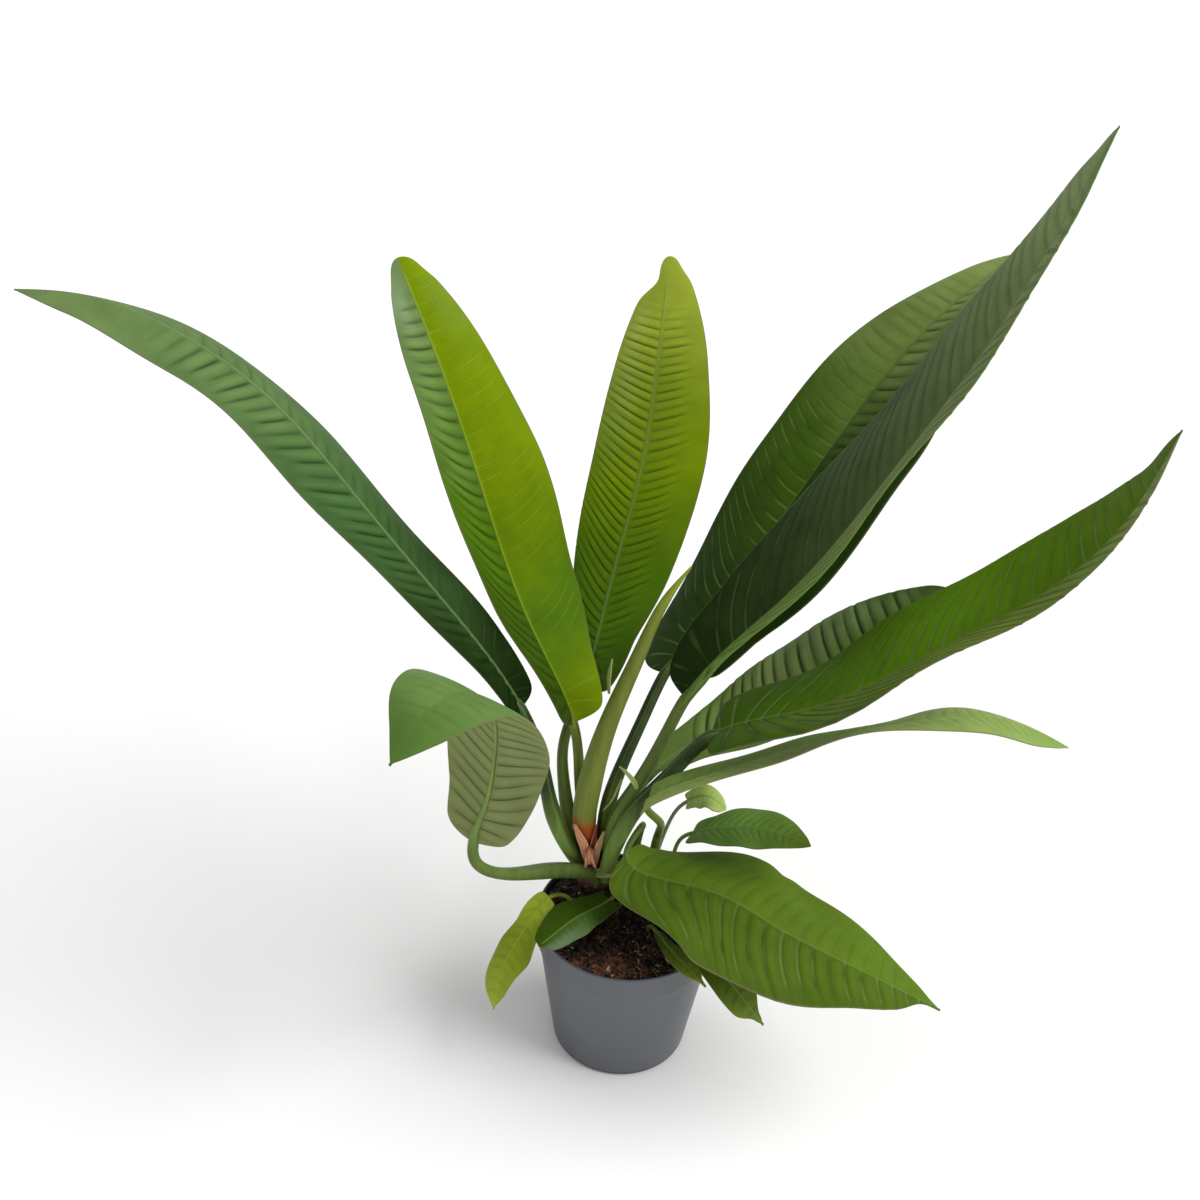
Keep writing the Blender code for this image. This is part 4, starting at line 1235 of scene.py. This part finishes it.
def make_soil(settings):
    """One closed sheet: out over the floor, up the wall and in over the mounded surface."""
    low, high = (np.array(corner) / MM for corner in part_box("soil"))
    bottom, edge = low[2], high[0] + 0.6
    foot = 44.0
    floor_rows, wall_rows = 0.05, 0.12
    piece, u, v = add_sheet("soil_fine", 220, 120)
    up_wall = (v - floor_rows) / (wall_rows - floor_rows)
    radius = np.where(v < floor_rows, foot * v / floor_rows,
                      np.where(v < wall_rows, foot + (edge - foot) * up_wall,
                               edge * (1 - v) / (1 - wall_rows)))
    angle = -2 * math.pi * u
    x, y = radius * np.cos(angle), radius * np.sin(angle)
    crumbs = np.array([noise.fractal(Vector((a * 0.16, b * 0.16, 1.0)), 0.6, 2.1, 5) for a, b in zip(x, y)])
    clods = np.array([noise.noise(Vector((a * 0.45, b * 0.45, 7.0))) for a, b in zip(x, y)])
    top = soil_height(x, y) + 1.5 * crumbs + 1.2 * np.abs(clods) - 0.6
    wall = bottom + (SOIL_LEVEL - 6 - bottom) * up_wall
    z = np.where(v <= floor_rows, bottom, np.where(v < wall_rows, np.minimum(wall, top), top))
    shape(piece, np.stack([x, y, z], 1))
    close_seams(piece)
    coat(piece, soil_material(settings), 70)
    dress(piece, "soil", "soil")


def chip_material(name, light, dark):
    """Mottled grain of wood, bark or grit."""
    finish = Finish(name, Specular_IOR_Level=0.25)
    spots = finish.noise(260, 4, 0.6)
    lightest = tuple(part * 1.6 for part in light)
    colour = finish.ramp(spots, [(0.3, dark), (0.55, light), (0.8, lightest)])
    return finish.done(colour, spots * 0.2 + 0.65, spots, 0.0003, 0.8)


def spot_on_soil(draw, reach):
    """A random place on the soil, as far out as a reach."""
    away = reach * math.sqrt(draw.random())
    turn = draw.uniform(0, 2 * math.pi)
    return away * math.cos(turn), away * math.sin(turn)


def grain_forms(detail):
    """A few rough grains, one metre in radius, to be copied and scaled down."""
    forms = []
    for k in range(5):
        bpy.ops.object.select_all(action="DESELECT")
        bpy.ops.mesh.primitive_ico_sphere_add(subdivisions=detail + 1, radius=1)
        form = bpy.context.object
        for vertex in form.data.vertices:
            vertex.co *= 1 + 0.55 * noise.noise(vertex.co * 1.3 + Vector((k * 5.1, 0, 0)))
        forms.append(form)
    return forms


def scatter(name, count, sizes, material, draw, lift=0.2, detail=1, heap=None):
    """Copies of a few rough grains, laid over the soil's surface and joined.

    Sizes are ranges: of a grain's half-length, and of its breadth and height as shares of
    that. Lift is how far its middle stands above the soil, as a share of its height. A heap
    is a place, its spread and the share of the grains that lie there.
    """
    forms = grain_forms(detail)
    copies = []
    for _ in range(count):
        form = draw.choice(forms)
        copy = form.copy()
        copy.data = form.data.copy()
        bpy.context.collection.objects.link(copy)
        x, y = spot_on_soil(draw, SOIL_REACH)
        if heap and draw.random() < heap[3]:
            x, y = draw.gauss(heap[0], heap[2]), draw.gauss(heap[1], HEAP_DEPTH * heap[2])
        if math.hypot(x - CROWN_X, y - CROWN_Y) < CROWN_CLEARANCE:
            x, y = -x, -y
        away = math.hypot(x, y)
        if away > SOIL_REACH:
            x, y = 0.9 * x * SOIL_REACH / away, 0.9 * y * SOIL_REACH / away
        size = draw.uniform(*sizes[0])
        stretch = (size, size * draw.uniform(*sizes[1]), size * draw.uniform(*sizes[2]))
        z = float(soil_height(x, y)) + lift * stretch[2]
        spin = Matrix.Rotation(draw.uniform(0, 6.3), 4, "Z")
        for axis in "XY":
            spin = spin @ Matrix.Rotation(draw.uniform(-0.6, 0.6), 4, axis)
        scale = Matrix.Diagonal((*[length * MM for length in stretch], 1))
        copy.data.transform(Matrix.Translation((x * MM, y * MM, z * MM)) @ spin @ scale)
        copies.append(copy)
    for form in forms:
        bpy.data.objects.remove(form, do_unlink=True)
    piece = join(copies, name)
    coat(piece, material, 50)
    dress(piece, "soil")


def make_fibres(name, count, material, draw):
    """Thin bent threads of coir lying on the soil."""
    threads = []
    for _ in range(count):
        x, y = spot_on_soil(draw, SOIL_REACH - 1.5)
        heading = draw.uniform(0, 2 * math.pi)
        bend = draw.uniform(-0.35, 0.35)
        length = draw.uniform(3.0, 11.0)
        thick = draw.uniform(0.12, 0.28)
        fibre, u, v = add_sheet(name, 5, 9)
        path_turn = heading + bend * v * 5
        px = x + length * v * np.cos(path_turn)
        py = y + length * v * np.sin(path_turn)
        pull = np.where(np.hypot(px, py) > SOIL_REACH + 0.5, 0.92, 1.0)
        px, py = px * pull, py * pull
        pz = soil_height(px, py) + 0.7 + 1.3 * np.sin(math.pi * v) * draw.random()
        radius = thick * between_ends(v)
        out, up = radius * np.cos(2 * math.pi * u), radius * np.sin(2 * math.pi * u)
        shape(fibre, np.stack([px - out * np.sin(path_turn), py + out * np.cos(path_turn), pz + up], 1))
        threads.append(fibre)
    piece = join(threads, name)
    close_seams(piece)
    coat(piece, material, 60)
    dress(piece, "soil")


# Stage

def lay_floor(settings):
    bpy.ops.object.select_all(action="DESELECT")
    bpy.ops.mesh.primitive_plane_add(size=FLOOR_SIZE, location=(0, FLOOR_SIZE / 4, -FLOOR_GAP))
    floor = bpy.context.object
    floor.name = "stage_floor"
    finish = Finish("floor_paint", roughness=0.9, Specular_IOR_Level=0.0)
    finish.set("Base Color", settings.floor)
    floor.data.materials.append(finish.material)


def light_stage(scene, settings):
    """White light from all round, and one soft light from the right."""
    scene.world = bpy.data.worlds.new("studio")
    scene.world.use_nodes = True
    background = scene.world.node_tree.nodes["Background"]
    background.inputs["Color"].default_value = (1, 1, 1, 1)
    background.inputs["Strength"].default_value = settings.ambient
    bpy.ops.object.light_add(type="SUN")
    key = bpy.context.object
    key.name = "key_light"
    key.data.energy = settings.key
    key.data.angle = settings.key_angle
    high, side = settings.key_height, settings.key_side
    toward = Vector((math.cos(high) * math.sin(side), math.cos(high) * math.cos(side), math.sin(high)))
    key.rotation_euler = toward.to_track_quat("Z", "Y").to_euler()


def place_camera(scene):
    bpy.ops.object.camera_add(location=CAMERA_PLACE)
    camera = bpy.context.object
    turn = Matrix.Rotation(math.radians(CAMERA_TILT), 4, "X")
    turn = turn @ Matrix.Rotation(math.radians(CAMERA_ROLL), 4, "Z")
    camera.rotation_euler = turn.to_euler()
    camera.data.sensor_width = 36
    camera.data.lens = CAMERA_LENS
    scene.camera = camera
    scene.view_settings.view_transform = "Standard"


# Operators

class PLANT_OT_stage(bpy.types.Operator):
    """Add the floor, the soft lights and the camera"""
    bl_idname = "plant.stage"
    bl_label = "Stage"

    def execute(self, context):
        settings = context.scene.plant_stage
        lay_floor(settings)
        light_stage(context.scene, settings)
        place_camera(context.scene)
        return {"FINISHED"}


class PLANT_OT_pot(bpy.types.Operator):
    """Add the nursery pot"""
    bl_idname = "plant.pot"
    bl_label = "Pot"

    def execute(self, context):
        make_pot(context.scene.plant_pot)
        return {"FINISHED"}


class PLANT_OT_soil(bpy.types.Operator):
    """Add the soil with its bark chips, grit and fibres"""
    bl_idname = "plant.soil"
    bl_label = "Soil"

    def execute(self, context):
        settings = context.scene.plant_soil
        draw = random.Random(settings.seed)
        make_soil(settings)
        bark = chip_material("bark_chip", settings.bark, (0.02, 0.01, 0.007))
        scatter("bark_chips", settings.chips, ((0.7, 2.2), (0.5, 0.9), (0.35, 0.7)), bark, draw,
                heap=(-12, -38, 12, 0.6))
        crumb = chip_material("peat_crumb", (0.03, 0.018, 0.012), (0.006, 0.004, 0.003))
        scatter("peat_crumbs", settings.chips, ((0.8, 2.8), (0.6, 1.0), (0.5, 0.9)), crumb, draw)
        pale = chip_material("pale_grit", settings.speck, (0.2, 0.14, 0.1))
        scatter("pale_grit", settings.grit, ((0.35, 0.9), (0.6, 1.0), (0.6, 1.0)), pale, draw,
                lift=0.7, detail=0, heap=(22, -34, 14, 0.4))
        sliver = chip_material("pale_sliver", (0.55, 0.40, 0.30), (0.25, 0.16, 0.11))
        scatter("pale_slivers", settings.slivers, ((1.2, 3.6), (0.12, 0.25), (0.12, 0.25)), sliver, draw,
                lift=1.2, detail=0, heap=(18, -36, 16, 0.7))
        coir = chip_material("coir_fibre", (0.2, 0.11, 0.06), (0.07, 0.035, 0.02))
        make_fibres("coir_fibres", settings.fibres, coir, draw)
        return {"FINISHED"}


class PLANT_OT_crown(bpy.types.Operator):
    """Add the crown, its dry scales and the rolled leaf"""
    bl_idname = "plant.crown"
    bl_label = "Crown"

    def execute(self, context):
        greens = context.scene.plant_greens
        make_crown(greens)
        make_crown_scales(greens)
        make_rolled_leaf(greens)
        make_dry_bits(greens)
        return {"FINISHED"}


class PLANT_OT_leaves(bpy.types.Operator):
    """Add every leaf with its stalk"""
    bl_idname = "plant.leaves"
    bl_label = "Leaves"

    def execute(self, context):
        for leaf in LEAVES:
            make_leaf(leaf, context.scene.plant_leaves, context.scene.plant_greens)
        return {"FINISHED"}


class PLANT_PT_panel(bpy.types.Panel):
    """Lists the plant's operators and settings"""
    bl_idname = "PLANT_PT_panel"
    bl_label = "Potted Philodendron"
    bl_space_type = "VIEW_3D"
    bl_region_type = "UI"
    bl_category = "Plant"

    def draw(self, context):
        for operator in OPERATORS:
            self.layout.operator(operator.bl_idname)
        for name in SETTINGS:
            settings = getattr(context.scene, name)
            box = self.layout.box()
            box.label(text=name.replace("_", " ").capitalize())
            for key in settings.__annotations__:
                box.prop(settings, key)


SETTINGS = {
    "plant_greens": GreenSettings,
    "plant_leaves": LeafSettings,
    "plant_pot": PotSettings,
    "plant_soil": SoilSettings,
    "plant_stage": StageSettings,
}
OPERATORS = (PLANT_OT_stage, PLANT_OT_pot, PLANT_OT_soil, PLANT_OT_crown, PLANT_OT_leaves)


def register():
    for group in SETTINGS.values():
        bpy.utils.register_class(group)
    for name, group in SETTINGS.items():
        setattr(bpy.types.Scene, name, PointerProperty(type=group))
    for item in (*OPERATORS, PLANT_PT_panel):
        bpy.utils.register_class(item)


def unregister():
    for item in reversed((*OPERATORS, PLANT_PT_panel)):
        bpy.utils.unregister_class(item)
    for name in SETTINGS:
        delattr(bpy.types.Scene, name)
    for group in reversed(SETTINGS.values()):
        bpy.utils.unregister_class(group)


def main():
    register()
    bpy.ops.plant.stage()
    bpy.ops.plant.pot()
    bpy.ops.plant.soil()
    bpy.ops.plant.crown()
    bpy.ops.plant.leaves()


if __name__ == "__main__":
    main()
